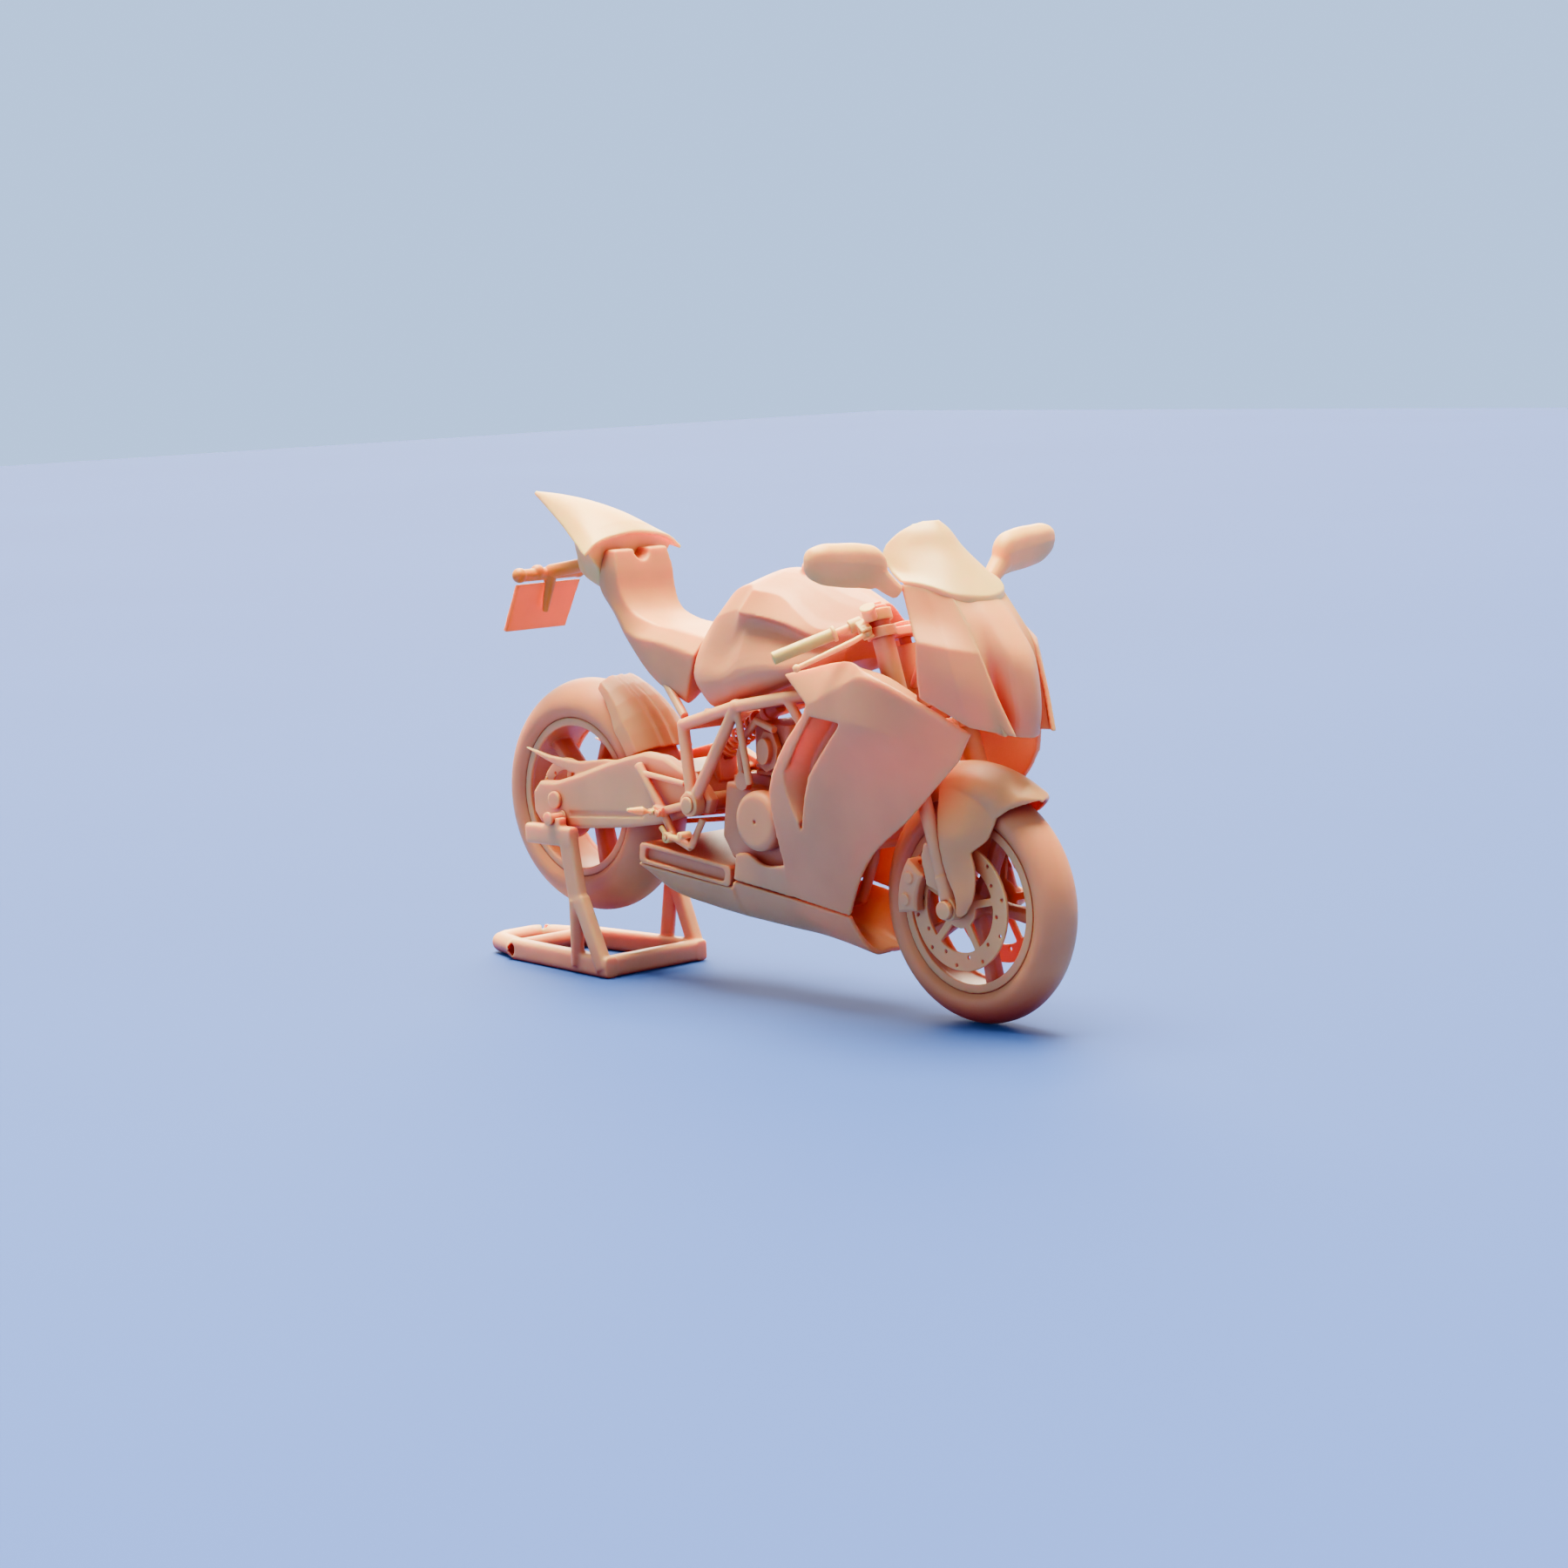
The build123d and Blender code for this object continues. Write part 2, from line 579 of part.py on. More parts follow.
rear_barrel = finned_barrel((66.6, 0, 43.2), (65.6, 0, 54.4), 5.6, 8.6, 4, 1.3)
front_barrel = finned_barrel((80.4, 0, 42.2), (86.2, 0, 47.8), 4.6, 8.2, 4, 1.2)
keep("cylinders", rear_barrel, front_barrel)
cam_cover = fused(
    [
        plate(
            [
                (64.2, 45.4), (66.8, 44.2), (69.6, 45.8), (69.9, 50.2), (68.2, 53.0), (65.4, 53.0),
                (63.9, 50.0),
            ],
            8.9,
            10.4,
        ),
        Pos(66.9, 10.4, 48.9) * Rot(90, 0, 0) * extrude(Ellipse(2.0, 2.9), amount=-1.6),
    ]
)
keep("cam_covers", cam_cover, mirrored(cam_cover))
pump = y_cylinder(61.4, 41.6, -12.6, -10.9, 2.0)
hose = tube_run(
    [
        (61.0, -11.8, 43.0), (59.8, -11.6, 47.0), (60.4, -11.2, 51.0), (64.4, -11.4, 55.2),
        (70.4, -11.8, 54.2),
    ],
    0.85,
)
keep("water_pump", fused([pump, hose]))
radiator = Plane(origin=(91.2, 0, 41.5), x_dir=(1, 0, -0.2), z_dir=(0.2, 0, 1)).location * (
    Box(1.8, 21, 23) - Pos(1.2, 0, 0) * Box(1.4, 18, 20) + Pos(-0.2, 0, 0) * Box(1.2, 19, 21)
)
keep("radiator", radiator)

# ---------------------------------------------------------------- exhaust
box_top = block(29.0, 58.8, -12.6, 12.6, 17.7, 22.4)
box_top = fillet(box_top.edges().filter_by(Axis.Y), 1.2)
outlet = fillet(block(30.8, 57.0, 11.2, 13.2, 18.7, 21.4).edges().filter_by(Axis.Y), 0.9)
box_top = box_top - outlet - mirrored(outlet)
silencer = fused([box_top, rounded(block(31.5, 58.0, -6.0, 6.0, 13.2, 18.5), 1.0)])
keep("exhaust_silencer", silencer)
pipe = tube_run(
    [
        (86.4, 4.6, 41.0), (86.3, 4.6, 36.0), (85.4, 4.6, 27.0), (82.6, 4.4, 17.6), (78.0, 3.4, 15.9),
        (58.3, 3.4, 15.9),
    ],
    1.2,
)
pipe -= front_barrel
keep("exhaust_pipes", pipe, mirrored(pipe))

# ---------------------------------------------------------------- bodywork
pan_rows = [
    [(28.5, 12.3, 17.2), (28.6, 10.5, 16.1), (29.0, 7.9, 14.8), (29.0, 0.0, 14.6)],
    [(34.0, 12.5, 17.3), (34.0, 10.6, 14.6), (34.0, 7.5, 12.3), (34.0, 0.0, 12.2)],
    [(48.0, 12.5, 17.4), (48.0, 10.9, 14.0), (48.0, 7.4, 10.9), (48.0, 0.0, 10.8)],
    [(59.6, 12.5, 17.6), (59.6, 10.7, 14.0), (59.6, 7.0, 10.6), (59.6, 0.0, 10.5)],
    [(60.1, 12.5, 19.2), (60.1, 10.8, 15.0), (60.1, 6.8, 10.6), (60.1, 0.0, 10.5)],
    [(72.0, 12.4, 19.0), (72.0, 10.8, 15.2), (72.0, 6.4, 10.8), (72.0, 0.0, 10.7)],
    [(81.7, 12.1, 18.7), (81.7, 10.3, 15.0), (81.7, 5.8, 10.9), (81.7, 0.0, 10.8)],
    [(90.0, 11.6, 18.2), (90.4, 9.4, 14.2), (90.8, 5.4, 10.3), (91.0, 0.0, 10.2)],
    [(94.3, 11.1, 17.9), (95.2, 8.6, 13.6), (96.2, 4.9, 9.6), (96.6, 0.0, 9.4)],
]  # fmt: skip
belly_pan = panel([both_sides(row) for row in pan_rows], (60.0, 0.0, 40.0))
keep("belly_pan", belly_pan - silencer)

side_rows = [
    [(77.0, 16.0, 67.6), (84.0, 15.8, 69.8), (94.8, 15.6, 73.0),
     (103.3, 17.9, 72.3), (116.9, 15.5, 67.8), (126.4, 10.3, 62.3)],
    [(86.4, 18.4, 62.7), (92.0, 18.7, 65.6), (98.0, 18.9, 69.0),
     (103.6, 19.0, 71.2), (116.8, 16.1, 66.9), (126.2, 10.9, 61.3)],
    [(84.8, 18.2, 60.0), (90.0, 18.6, 60.4), (95.4, 19.0, 61.0),
     (103.2, 19.2, 61.2), (114.2, 16.7, 59.6), (125.0, 12.2, 56.6)],
    [(79.0, 17.6, 52.6), (85.5, 18.2, 52.6), (92.0, 18.3, 52.5),
     (101.0, 17.6, 52.3), (111.0, 16.3, 52.0), (120.6, 13.9, 50.7)],
    [(74.6, 16.9, 43.0), (82.0, 17.2, 43.0), (89.5, 17.1, 43.0),
     (98.0, 16.3, 42.8), (106.0, 15.6, 42.6), (113.2, 14.2, 42.4)],
    [(75.8, 15.9, 34.0), (82.0, 15.9, 33.8), (88.0, 15.7, 33.6),
     (94.0, 15.2, 33.6), (99.0, 14.7, 33.6), (103.8, 13.8, 34.0)],
    [(77.2, 14.4, 26.4), (81.0, 14.3, 26.2), (85.0, 14.2, 26.0),
     (89.5, 13.9, 26.0), (94.0, 13.4, 26.2), (98.4, 12.7, 26.6)],
    [(77.5, 12.6, 19.5), (80.5, 12.4, 19.3), (84.0, 12.3, 19.1),
     (88.0, 12.1, 18.9), (91.5, 11.9, 18.7), (94.6, 11.4, 18.4)],
]  # fmt: skip
low_rows = [
    [(60.8, 13.0, 25.6), (64.5, 13.2, 26.4), (69.1, 13.5, 25.0), (78.0, 14.3, 26.3)],
    [(60.0, 12.7, 19.7), (64.5, 12.7, 19.6), (69.1, 12.7, 19.6), (78.0, 12.6, 19.4)],
]
VENT = [
    (87.4, 60.4), (97.2, 60.6), (90.8, 52.6), (87.3, 47.8), (85.7, 43.2), (84.0, 35.0), (83.2, 37.3),
    (80.2, 43.0), (79.4, 47.2),
]
vent_wall_rows = [
    [(85.8, 17.9, 61.6), (78.4, 17.0, 47.2), (79.4, 16.8, 42.8), (82.8, 16.2, 36.4)],
    [(88.8, 14.2, 60.3), (82.0, 13.2, 47.4), (82.4, 13.0, 43.6), (85.0, 12.8, 38.6)],
]
vent_floor = plate(
    [(82.0, 36.4), (86.6, 37.0), (92.5, 48.0), (100.5, 61.8), (88.0, 62.4), (81.0, 48.0)], 12.6, 13.6
)
ledge_rows = [
    [(80.0, 15.6, 68.3), (94.8, 15.3, 72.8), (103.3, 17.5, 72.0), (116.0, 15.3, 67.8)],
    [(82.0, 13.4, 67.6), (94.6, 13.2, 71.0), (104.0, 13.9, 71.6), (113.0, 12.4, 68.4)],
]
MIDDLE = (90.0, 0.0, 50.0)
skin = panel(right_side(side_rows), MIDDLE)
skin -= mirrored(plate(VENT, 13.0, 23.0))
side_fairing = fused(
    [
        skin,
        panel(right_side(low_rows), MIDDLE),
        panel(right_side(vent_wall_rows), MIDDLE, THIN_SKIN),
        mirrored(vent_floor),
        panel(right_side(ledge_rows), MIDDLE, THIN_SKIN),
    ]
)
keep("side_fairing_right", side_fairing)
keep("side_fairing_left", mirrored(side_fairing))

headlight_rows = [
    [(106.7, 12.5, 90.4), (112.0, 10.5, 90.2), (117.0, 7.4, 88.7)],
    [(111.3, 14.2, 84.0), (116.6, 11.3, 84.0), (121.6, 7.8, 84.0)],
    [(115.2, 16.1, 79.9), (121.5, 13.2, 79.2), (126.2, 8.4, 78.5)],
    [(115.8, 16.2, 74.0), (124.2, 13.0, 72.3), (130.6, 7.5, 70.3)],
    [(116.7, 15.9, 68.6), (126.7, 11.3, 63.6), (134.7, 6.0, 62.5)],
]
FRONT_MIDDLE = (108.0, 0.0, 76.0)
headlight = panel(right_side(headlight_rows), FRONT_MIDDLE)
keep("headlight_panels", headlight, mirrored(headlight))
nose_rows = [
    [(117.0, 7.3, 88.4), (118.0, 4.6, 88.3), (119.0, 2.3, 88.4), (119.3, 0.0, 88.4)],
    [(121.6, 7.7, 83.9), (123.0, 5.0, 84.0), (124.6, 2.6, 84.0), (125.0, 0.0, 84.0)],
    [(126.2, 8.3, 78.4), (127.2, 5.2, 78.4), (129.7, 2.7, 78.3), (130.2, 0.0, 78.2)],
    [(130.3, 7.4, 70.6), (129.8, 4.7, 71.0), (132.3, 2.7, 71.4), (132.9, 0.0, 71.5)],
    [(132.9, 6.7, 65.6), (131.2, 4.1, 66.0), (133.4, 2.6, 66.0), (134.0, 0.0, 66.0)],
    [(134.5, 6.0, 62.7), (132.3, 3.8, 62.2), (133.2, 2.5, 61.8), (133.6, 0.0, 61.6)],
]
nose = panel([both_sides(row) for row in nose_rows], FRONT_MIDDLE)
keep("nose_panel", nose - headlight - mirrored(headlight))
screen_rows = [
    [(100.8, 3.6, 101.3), (102.1, 2.5, 101.9), (103.3, 1.2, 102.2), (103.8, 0.0, 102.3)],
    [(99.2, 6.2, 99.5), (102.8, 4.6, 100.2), (105.2, 2.4, 100.6), (106.1, 0.0, 100.7)],
    [(98.0, 9.2, 95.8), (103.4, 7.5, 96.5), (107.8, 4.1, 97.1), (109.4, 0.0, 97.3)],
    [(101.2, 10.6, 92.9), (107.4, 9.3, 93.0), (112.0, 5.6, 93.5), (113.8, 0.0, 93.6)],
    [(106.8, 12.2, 91.0), (112.2, 10.1, 90.9), (116.9, 6.9, 89.6), (119.4, 0.0, 89.2)],
]
keep("windscreen", panel([both_sides(row) for row in screen_rows], (96.0, 0.0, 86.0), THIN_SKIN))
stay = fused(
    [
        tube_run([(101.8, 2.2, 67.6), (108.0, 5.0, 78.0), (107.6, 10.0, 87.6)], 0.9),
        tube_run([(101.8, -2.2, 67.6), (108.0, -5.0, 78.0), (107.6, -10.0, 87.6)], 0.9),
        rod((108.0, -5.0, 78.0), (108.0, 5.0, 78.0), 0.9),
        rounded(block(106.4, 109.4, -4.4, 4.4, 78.0, 83.6), 0.7),
    ]
)
keep("fairing_stay", stay - main_frame)


MIRROR_SECTION = [
    (2.9, 0.8), (2.1, 3.5), (0.0, 4.6), (-2.0, 3.5), (-2.5, 0.0), (-1.8, -3.4), (0.0, -4.5), (1.7, -3.0)
]


def mirror_ring(y, x, z, share_x, share_z):
    return [(x + share_x * dx, -y, z + share_z * dz) for dx, dz in MIRROR_SECTION]


mirror_head = lofted(
    [
        mirror_ring(16.6, 105.8, 93.2, 0.45, 0.45),
        mirror_ring(18.4, 105.4, 93.8, 0.85, 0.86),
        mirror_ring(22.0, 105.0, 94.4, 1.0, 1.0),
        mirror_ring(28.0, 104.4, 94.9, 1.0, 0.98),
        mirror_ring(33.0, 103.8, 95.4, 0.85, 0.8),
        mirror_ring(35.6, 103.4, 95.6, 0.45, 0.42),
    ]
)
mirror_stalk = rod((106.8, -13.4, 88.9), (105.6, -18.2, 92.4), 1.6, 2.2)
mirror = fused([mirror_head, mirror_stalk]) - headlight
keep("mirrors", mirror, mirrored(mirror))

tank_rings = [
    [(45.0, 0, 60.5), (45.0, 9.5, 58.0), (43.8, 10.8, 60.5), (43.2, 9.6, 67.0),
     (43.6, 7.6, 71.0), (44.6, 4.5, 73.4), (44.8, 0, 73.8)],
    [(49.0, 0, 60.6), (49.5, 10.8, 56.0), (48.0, 12.6, 60.0), (47.6, 11.0, 69.0),
     (48.6, 9.6, 75.0), (50.4, 6.6, 80.2), (51.0, 0, 81.4)],
    [(56.0, 0, 62.0), (56.0, 11.3, 57.5), (56.0, 13.4, 62.0), (55.6, 11.6, 70.5),
     (56.6, 10.8, 78.0), (58.0, 8.2, 83.4), (59.6, 0, 86.4)],
    [(60.0, 0, 62.6), (60.0, 11.4, 59.4), (60.0, 13.8, 64.0), (59.6, 11.0, 76.0),
     (58.9, 12.7, 77.9), (60.6, 10.2, 82.8), (63.0, 0, 87.2)],
    [(67.0, 0, 63.8), (67.0, 11.8, 62.4), (67.0, 14.3, 66.4), (67.4, 10.7, 76.2),
     (67.6, 13.0, 78.0), (68.4, 9.6, 82.4), (69.6, 0, 87.6)],
    [(75.0, 0, 66.0), (75.0, 12.4, 65.7), (75.0, 14.3, 68.0), (75.0, 10.6, 75.2),
     (75.0, 12.8, 77.4), (75.6, 10.8, 79.6), (76.4, 0, 87.0)],
    [(81.0, 0, 68.2), (81.0, 11.0, 68.0), (81.6, 12.4, 70.4), (82.0, 10.2, 74.2),
     (82.0, 11.9, 76.0), (82.0, 11.2, 77.4), (82.6, 0, 85.8)],
    [(86.0, 0, 70.8), (86.5, 7.3, 71.2), (87.5, 8.2, 73.0), (88.6, 7.4, 75.0),
     (89.4, 7.4, 76.8), (90.2, 6.2, 79.0), (91.0, 0, 83.2)],
]  # fmt: skip


def whole(half):
    """A closed ring from the half that runs from its bottom middle to its top middle."""
    left = [(x, y, z) for x, y, z in half]
    right = [(x, -y, z) for x, y, z in half[1:-1]][::-1]
    return left + right


tank = lofted([whole(r) for r in tank_rings])
keep("fuel_tank", fused([tank, rod((68.6, 0, 84.0), (69.2, 0, 88.2), 3.2)]))

seat_rings = [
    [(8.6, 0.0, 84.6), (8.6, 7.0, 84.6), (10.6, 8.0, 84.9), (12.6, 7.6, 85.0), (12.6, 0.0, 85.0)],
    [(6.9, 0.0, 79.6), (6.9, 7.4, 79.6), (10.4, 8.6, 80.0), (14.2, 8.3, 80.4), (14.2, 0.0, 80.4)],
    [(6.9, 0.0, 76.0), (6.9, 7.0, 76.0), (10.5, 8.7, 76.0), (15.2, 8.3, 76.4), (15.2, 0.0, 76.4)],
    [(11.5, 0.0, 70.9), (11.5, 6.6, 70.9), (15.0, 9.0, 71.0), (18.6, 7.4, 72.2), (18.6, 0.0, 72.2)],
    [(17.5, 0.0, 66.0), (17.5, 7.6, 65.6), (18.9, 9.4, 67.6), (24.0, 7.0, 70.6), (24.0, 0.0, 70.6)],
    [(27.0, 0.0, 61.6), (27.0, 8.4, 58.6), (31.0, 10.0, 67.0), (33.0, 7.0, 70.2), (33.0, 0.0, 70.2)],
    [(39.0, 0.0, 59.0), (39.0, 8.8, 54.8), (42.6, 10.3, 66.0), (43.0, 7.0, 69.7), (43.0, 0.0, 69.7)],
]  # fmt: skip
NOTCH_R, NOTCH_Z = 2.3, 84.7
seat = lofted([whole(r) for r in seat_rings])
seat -= rod((5, 0, NOTCH_Z), (20, 0, NOTCH_Z), NOTCH_R)
keep("rider_seat", seat - subframe)

cowl_rings = [
    [(-24.8, 0.0, 92.6), (-24.6, 0.6, 92.9), (-24.8, 0.5, 93.4), (-24.9, 0.0, 93.5)],
    [(-16.0, 0.0, 88.4), (-16.0, 3.9, 90.8), (-16.0, 2.8, 92.6), (-16.0, 0.0, 93.8)],
    [(-7.0, 0.0, 83.0), (-7.0, 7.4, 88.6), (-7.0, 5.2, 91.6), (-7.0, 0.0, 93.4)],
    [(1.0, 0.0, 79.4), (1.0, 10.8, 86.4), (1.0, 8.0, 89.8), (1.0, 0.0, 92.1)],
    [(6.5, 0.0, 80.0), (6.5, 13.2, 84.9), (6.5, 9.5, 88.1), (6.5, 0.0, 90.4)],
]  # fmt: skip
lip_rows = [
    [(6.0, 13.0, 85.0), (6.0, 9.4, 88.2), (6.0, 5.0, 89.8), (6.0, 0.0, 90.6)],
    [(9.9, 14.6, 84.1), (10.0, 11.3, 86.6), (10.2, 6.0, 88.0), (10.3, 0.0, 88.6)],
]
neck_rings = [
    [(-6.0, 0.0, 77.4), (-6.0, 2.0, 77.6), (-6.0, 3.0, 81.0), (-6.0, 3.0, 84.0), (-6.0, 0.0, 85.0)],
    [(1.0, 0.0, 76.0), (1.0, 5.4, 76.8), (1.0, 7.6, 81.0), (1.0, 7.6, 85.0), (1.0, 0.0, 86.0)],
    [(6.6, 0.0, 75.2), (6.6, 7.0, 75.6), (6.6, 8.3, 80.0), (6.6, 8.6, 84.6), (6.6, 0.0, 86.0)],
]
cowl = lofted([whole(r) for r in cowl_rings])
neck = lofted([whole(r) for r in neck_rings])
keep(
    "tail_cowl",
    fused([cowl, neck, panel([both_sides(row) for row in lip_rows], (0.0, 0.0, 78.0), THIN_SKIN)]),
)
bracket = fused(
    [
        rod((-6.6, 0, 78.8), (-19.0, 0, 75.6), 1.6),
        rod((-19.4, -8.6, 75.1), (-19.4, 8.6, 75.1), 1.45),
        ball((-19.4, -8.7, 75.2), 1.75),
        ball((-19.4, 8.7, 75.2), 1.75),
        ball((-19.4, -3.4, 75.6), 1.75),
        ball((-19.4, 3.4, 75.6), 1.75),
        rod((-18.8, 0, 75.0), (-20.4, 0, 66.0), 1.6, 0.7),
    ]
)
plate_rings = [
    [(-20.2, -9.3, 73.0), (-20.2, 9.3, 73.0), (-19.0, 9.3, 73.2), (-19.0, -9.3, 73.2)],
    [(-24.8, -8.9, 61.7), (-24.8, 8.9, 61.7), (-23.6, 8.9, 61.5), (-23.6, -8.9, 61.5)],
]
number_plate = lofted(plate_rings)
keep("number_plate", number_plate)
keep("plate_bracket", bracket - number_plate)

# ---------------------------------------------------------------- front fork, lower group
STANCHION_R, OUTER_R = 1.6, 2.3


def leg_rod(up0, up1, r, y=FORK_Y, r2=None):
    return rod(fork_point(up0, y), fork_point(up1, y), r, r2)


caliper_lug = plate(
    [(119.4, 27.6), (121.4, 31.4), (117.6, 36.6), (113.4, 37.4), (112.6, 34.4), (114.6, 28.6)], 8.0, 9.2
)
leg = fused(
    [
        leg_rod(0, 45, STANCHION_R),
        y_cylinder(FRONT_AXLE[0], FRONT_AXLE[2], 7.2, 10.3, 2.4),
        leg_rod(2, 7, 1.9),
        caliper_lug,
    ]
)
leg -= y_cylinder(FRONT_AXLE[0], FRONT_AXLE[2], 0, 20, AXLE_R)
leg -= y_cylinder(FRONT_AXLE[0], FRONT_AXLE[2], 10.3, 20, 2.0)
keep("fork_legs", leg, mirrored(leg))
front_axle = fused(
    [y_cylinder(FRONT_AXLE[0], FRONT_AXLE[2], -11.3, 11.3, AXLE_R)]
    + [y_cylinder(FRONT_AXLE[0], FRONT_AXLE[2], s * 10.3, s * 11.6, 1.9) for s in (-1, 1)]
)
keep("front_axle", front_axle)


def arc_block(centre, r0, r1, a0, a1, y0, y1):
    """A block that follows a circle about an axle, from angle a0 to a1 degrees."""
    steps = 6
    angles = [a0 + (a1 - a0) * i / steps for i in range(steps + 1)]
    outline = [around(centre, r1, a, 0) for a in angles]
    outline += [around(centre, r0, a, 0) for a in reversed(angles)]
    return plate([(x, z) for x, _, z in outline], y0, y1)


caliper = arc_block(FRONT_AXLE, 10.0, 15.4, 148, 194, 4.7, 9.4)
caliper = chamfer(caliper.edges().filter_by(lambda e: abs(e.center().Y - 9.4) < 0.01), 0.6)
caliper = caliper - arc_block(FRONT_AXLE, 8.0, 14.3, 140, 200, DISC_Y - 0.65, DISC_Y + 0.65)
caliper -= caliper_lug
pistons = [
    y_cylinder(x, z, 9.4, 9.9, 1.25) for x, _, z in (around(FRONT_AXLE, 12.7, a, 0) for a in (160, 182))
]
caliper = fused([caliper, *pistons])
keep("front_calipers", caliper, mirrored(caliper))

FENDER_HALF = [(6.4, 22.2), (6.4, 24.6), (5.3, 27.0), (2.8, 28.8), (0.0, 29.6)]
FENDER_TIP_R, FENDER_TIP_ANGLE, FENDER_TAPER_ANGLE = 29.2, 57.0, 66.0
fender_rows = []
for angle in (57.0, 59.3, 62.4, 66, 72, 80, 88, 98, 108, 118, 126):
    share = max(0.0, (FENDER_TAPER_ANGLE - angle) / (FENDER_TAPER_ANGLE - FENDER_TIP_ANGLE))
    half = [(y * (1 - 0.9 * share**2), r + (FENDER_TIP_R - r) * share * 0.98) for y, r in FENDER_HALF]
    fender_rows.append(both_sides([around(FRONT_AXLE, r, angle, y) for y, r in half]))
fender = panel(fender_rows, FRONT_AXLE, THIN_SKIN)
guard_rows = [
    [(114.4, 6.3, 49.0), (118.5, 6.4, 49.3), (125.0, 6.4, 48.0), (130.4, 6.2, 45.4)],
    [(115.5, 8.1, 44.1), (119.6, 8.2, 44.0), (124.8, 8.0, 43.4), (129.8, 6.8, 42.6)],
    [(117.0, 9.3, 40.1), (120.4, 9.5, 40.0), (124.0, 9.1, 40.2), (128.9, 7.3, 40.2)],
    [(118.1, 9.7, 37.2), (120.8, 9.9, 37.2), (123.4, 9.6, 37.4), (126.2, 8.8, 37.6)],
    [(119.2, 9.9, 34.8), (121.5, 10.1, 34.7), (124.4, 9.8, 34.8), (127.6, 9.1, 34.9)],
    [(121.3, 10.2, 31.3), (123.1, 10.4, 31.2), (125.4, 10.1, 31.3), (128.3, 9.4, 31.4)],
    [(124.2, 10.8, 28.0), (125.0, 10.8, 27.9), (126.6, 10.3, 27.8), (128.1, 9.6, 28.0)],
    [(124.6, 10.8, 24.8), (125.1, 10.8, 24.2), (126.0, 10.4, 24.3), (126.9, 9.9, 25.0)],
]  # fmt: skip
guard = panel(right_side(guard_rows), FRONT_AXLE, THIN_SKIN)
fender = fused([fender, guard, mirrored(guard)])
keep("front_fender", fender - leg - mirrored(leg))

# ---------------------------------------------------------------- steering group
YOKE_LOW, YOKE_HIGH = 38.0, 58.6
OUTER_UP0, OUTER_UP1 = 26.0, 64.2
outer_tube = fused([leg_rod(OUTER_UP0, OUTER_UP1, OUTER_R), leg_rod(OUTER_UP1, OUTER_UP1 + 0.8, 1.5)])
outer_tube -= leg_rod(OUTER_UP0 - 1, 52.0, STANCHION_R + RUN)
keep("fork_tubes", outer_tube, mirrored(outer_tube))


def yoke(up, thick, stem_hole):
    """A triple clamp: arms from the steering stem to both fork tubes."""
    centre = fork_point(up, 0, 0)
    bars = []
    for s in (-1, 1):
        bars.append(leg_rod(up - thick / 2, up + thick / 2, OUTER_R + 0.9, s * FORK_Y))
    hub = rod(fork_point(up - thick / 2, 0, 0), fork_point(up + thick / 2, 0, 0), 2.9)
    web = Plane(
        origin=vec(centre), x_dir=(cos(radians(RAKE)), 0, sin(radians(RAKE))), z_dir=FORK_DIR
    ).location * (
        Pos(FORK_OFFSET / 2 + 0.3, 0, 0) * Box(FORK_OFFSET + 0.6, 2 * FORK_Y, thick * 0.8)
    )
    body = fused([hub, web, *bars])
    for s in (-1, 1):
        body -= leg_rod(up - 3, up + 3, OUTER_R, s * FORK_Y)
    return body - rod(fork_point(up - 3, 0, 0), fork_point(up + 3, 0, 0), stem_hole)


keep("upper_yoke", yoke(YOKE_HIGH, 2.2, STEM_R))
stem_base, stem_top = fork_point(YOKE_LOW - 1.3, 0, 0), fork_point(YOKE_HIGH + 1.1, 0, 0)
stem = fused([rod(stem_base, stem_top, STEM_R), rod(stem_top, fork_point(YOKE_HIGH + 2.2, 0, 0), 1.9)])
keep("lower_yoke", fused([yoke(YOKE_LOW, 2.6, STEM_R), stem]))

CLAMP_UP = 62.2
BAR_ROOT = fork_point(CLAMP_UP, FORK_Y)
GRIP_TIP = (85.8, 27.5, 73.2)
BAR_CORE_R = 0.8


def bar_point(t):
    """A point on the left handlebar: 0 at the fork, 1 at the tip."""
    return tuple(a + (b - a) * t for a, b in zip(BAR_ROOT, GRIP_TIP))


clamp = fused(
    [
        leg_rod(CLAMP_UP - 1.2, CLAMP_UP + 1.2, OUTER_R + 0.8),
        rod(bar_point(0.08), bar_point(0.985), BAR_CORE_R),
    ]
)
clamp -= leg_rod(CLAMP_UP - 4, CLAMP_UP + 4, OUTER_R)
keep("clip_ons", clamp, mirrored(clamp))
grip = fused(
    [rod(bar_point(0.42), bar_point(1.0), BAR_R), rod(bar_point(0.40), bar_point(0.43), BAR_R + 0.35)]
)
keep("left_grip", grip - rod(bar_point(0.3), bar_point(0.985), BAR_CORE_R))
throttle = grip - rod(bar_point(0.3), bar_point(0.99), BAR_CORE_R + RUN)
keep("throttle_grip", mirrored(throttle))

# the lever turns in the plane of the bar: local X forward, Y out along the lever, Z along its pin
LEVER_PIN = (99.0, 13.8, 79.4)
LEVER_AXIS = (0.0, 0.43, 0.90)
LEVER_PIN_R = 0.45
lever_plane = Plane(origin=vec(LEVER_PIN), x_dir=(1, 0, 0), z_dir=LEVER_AXIS)


def in_lever_plane(shape):
    return lever_plane.location * shape


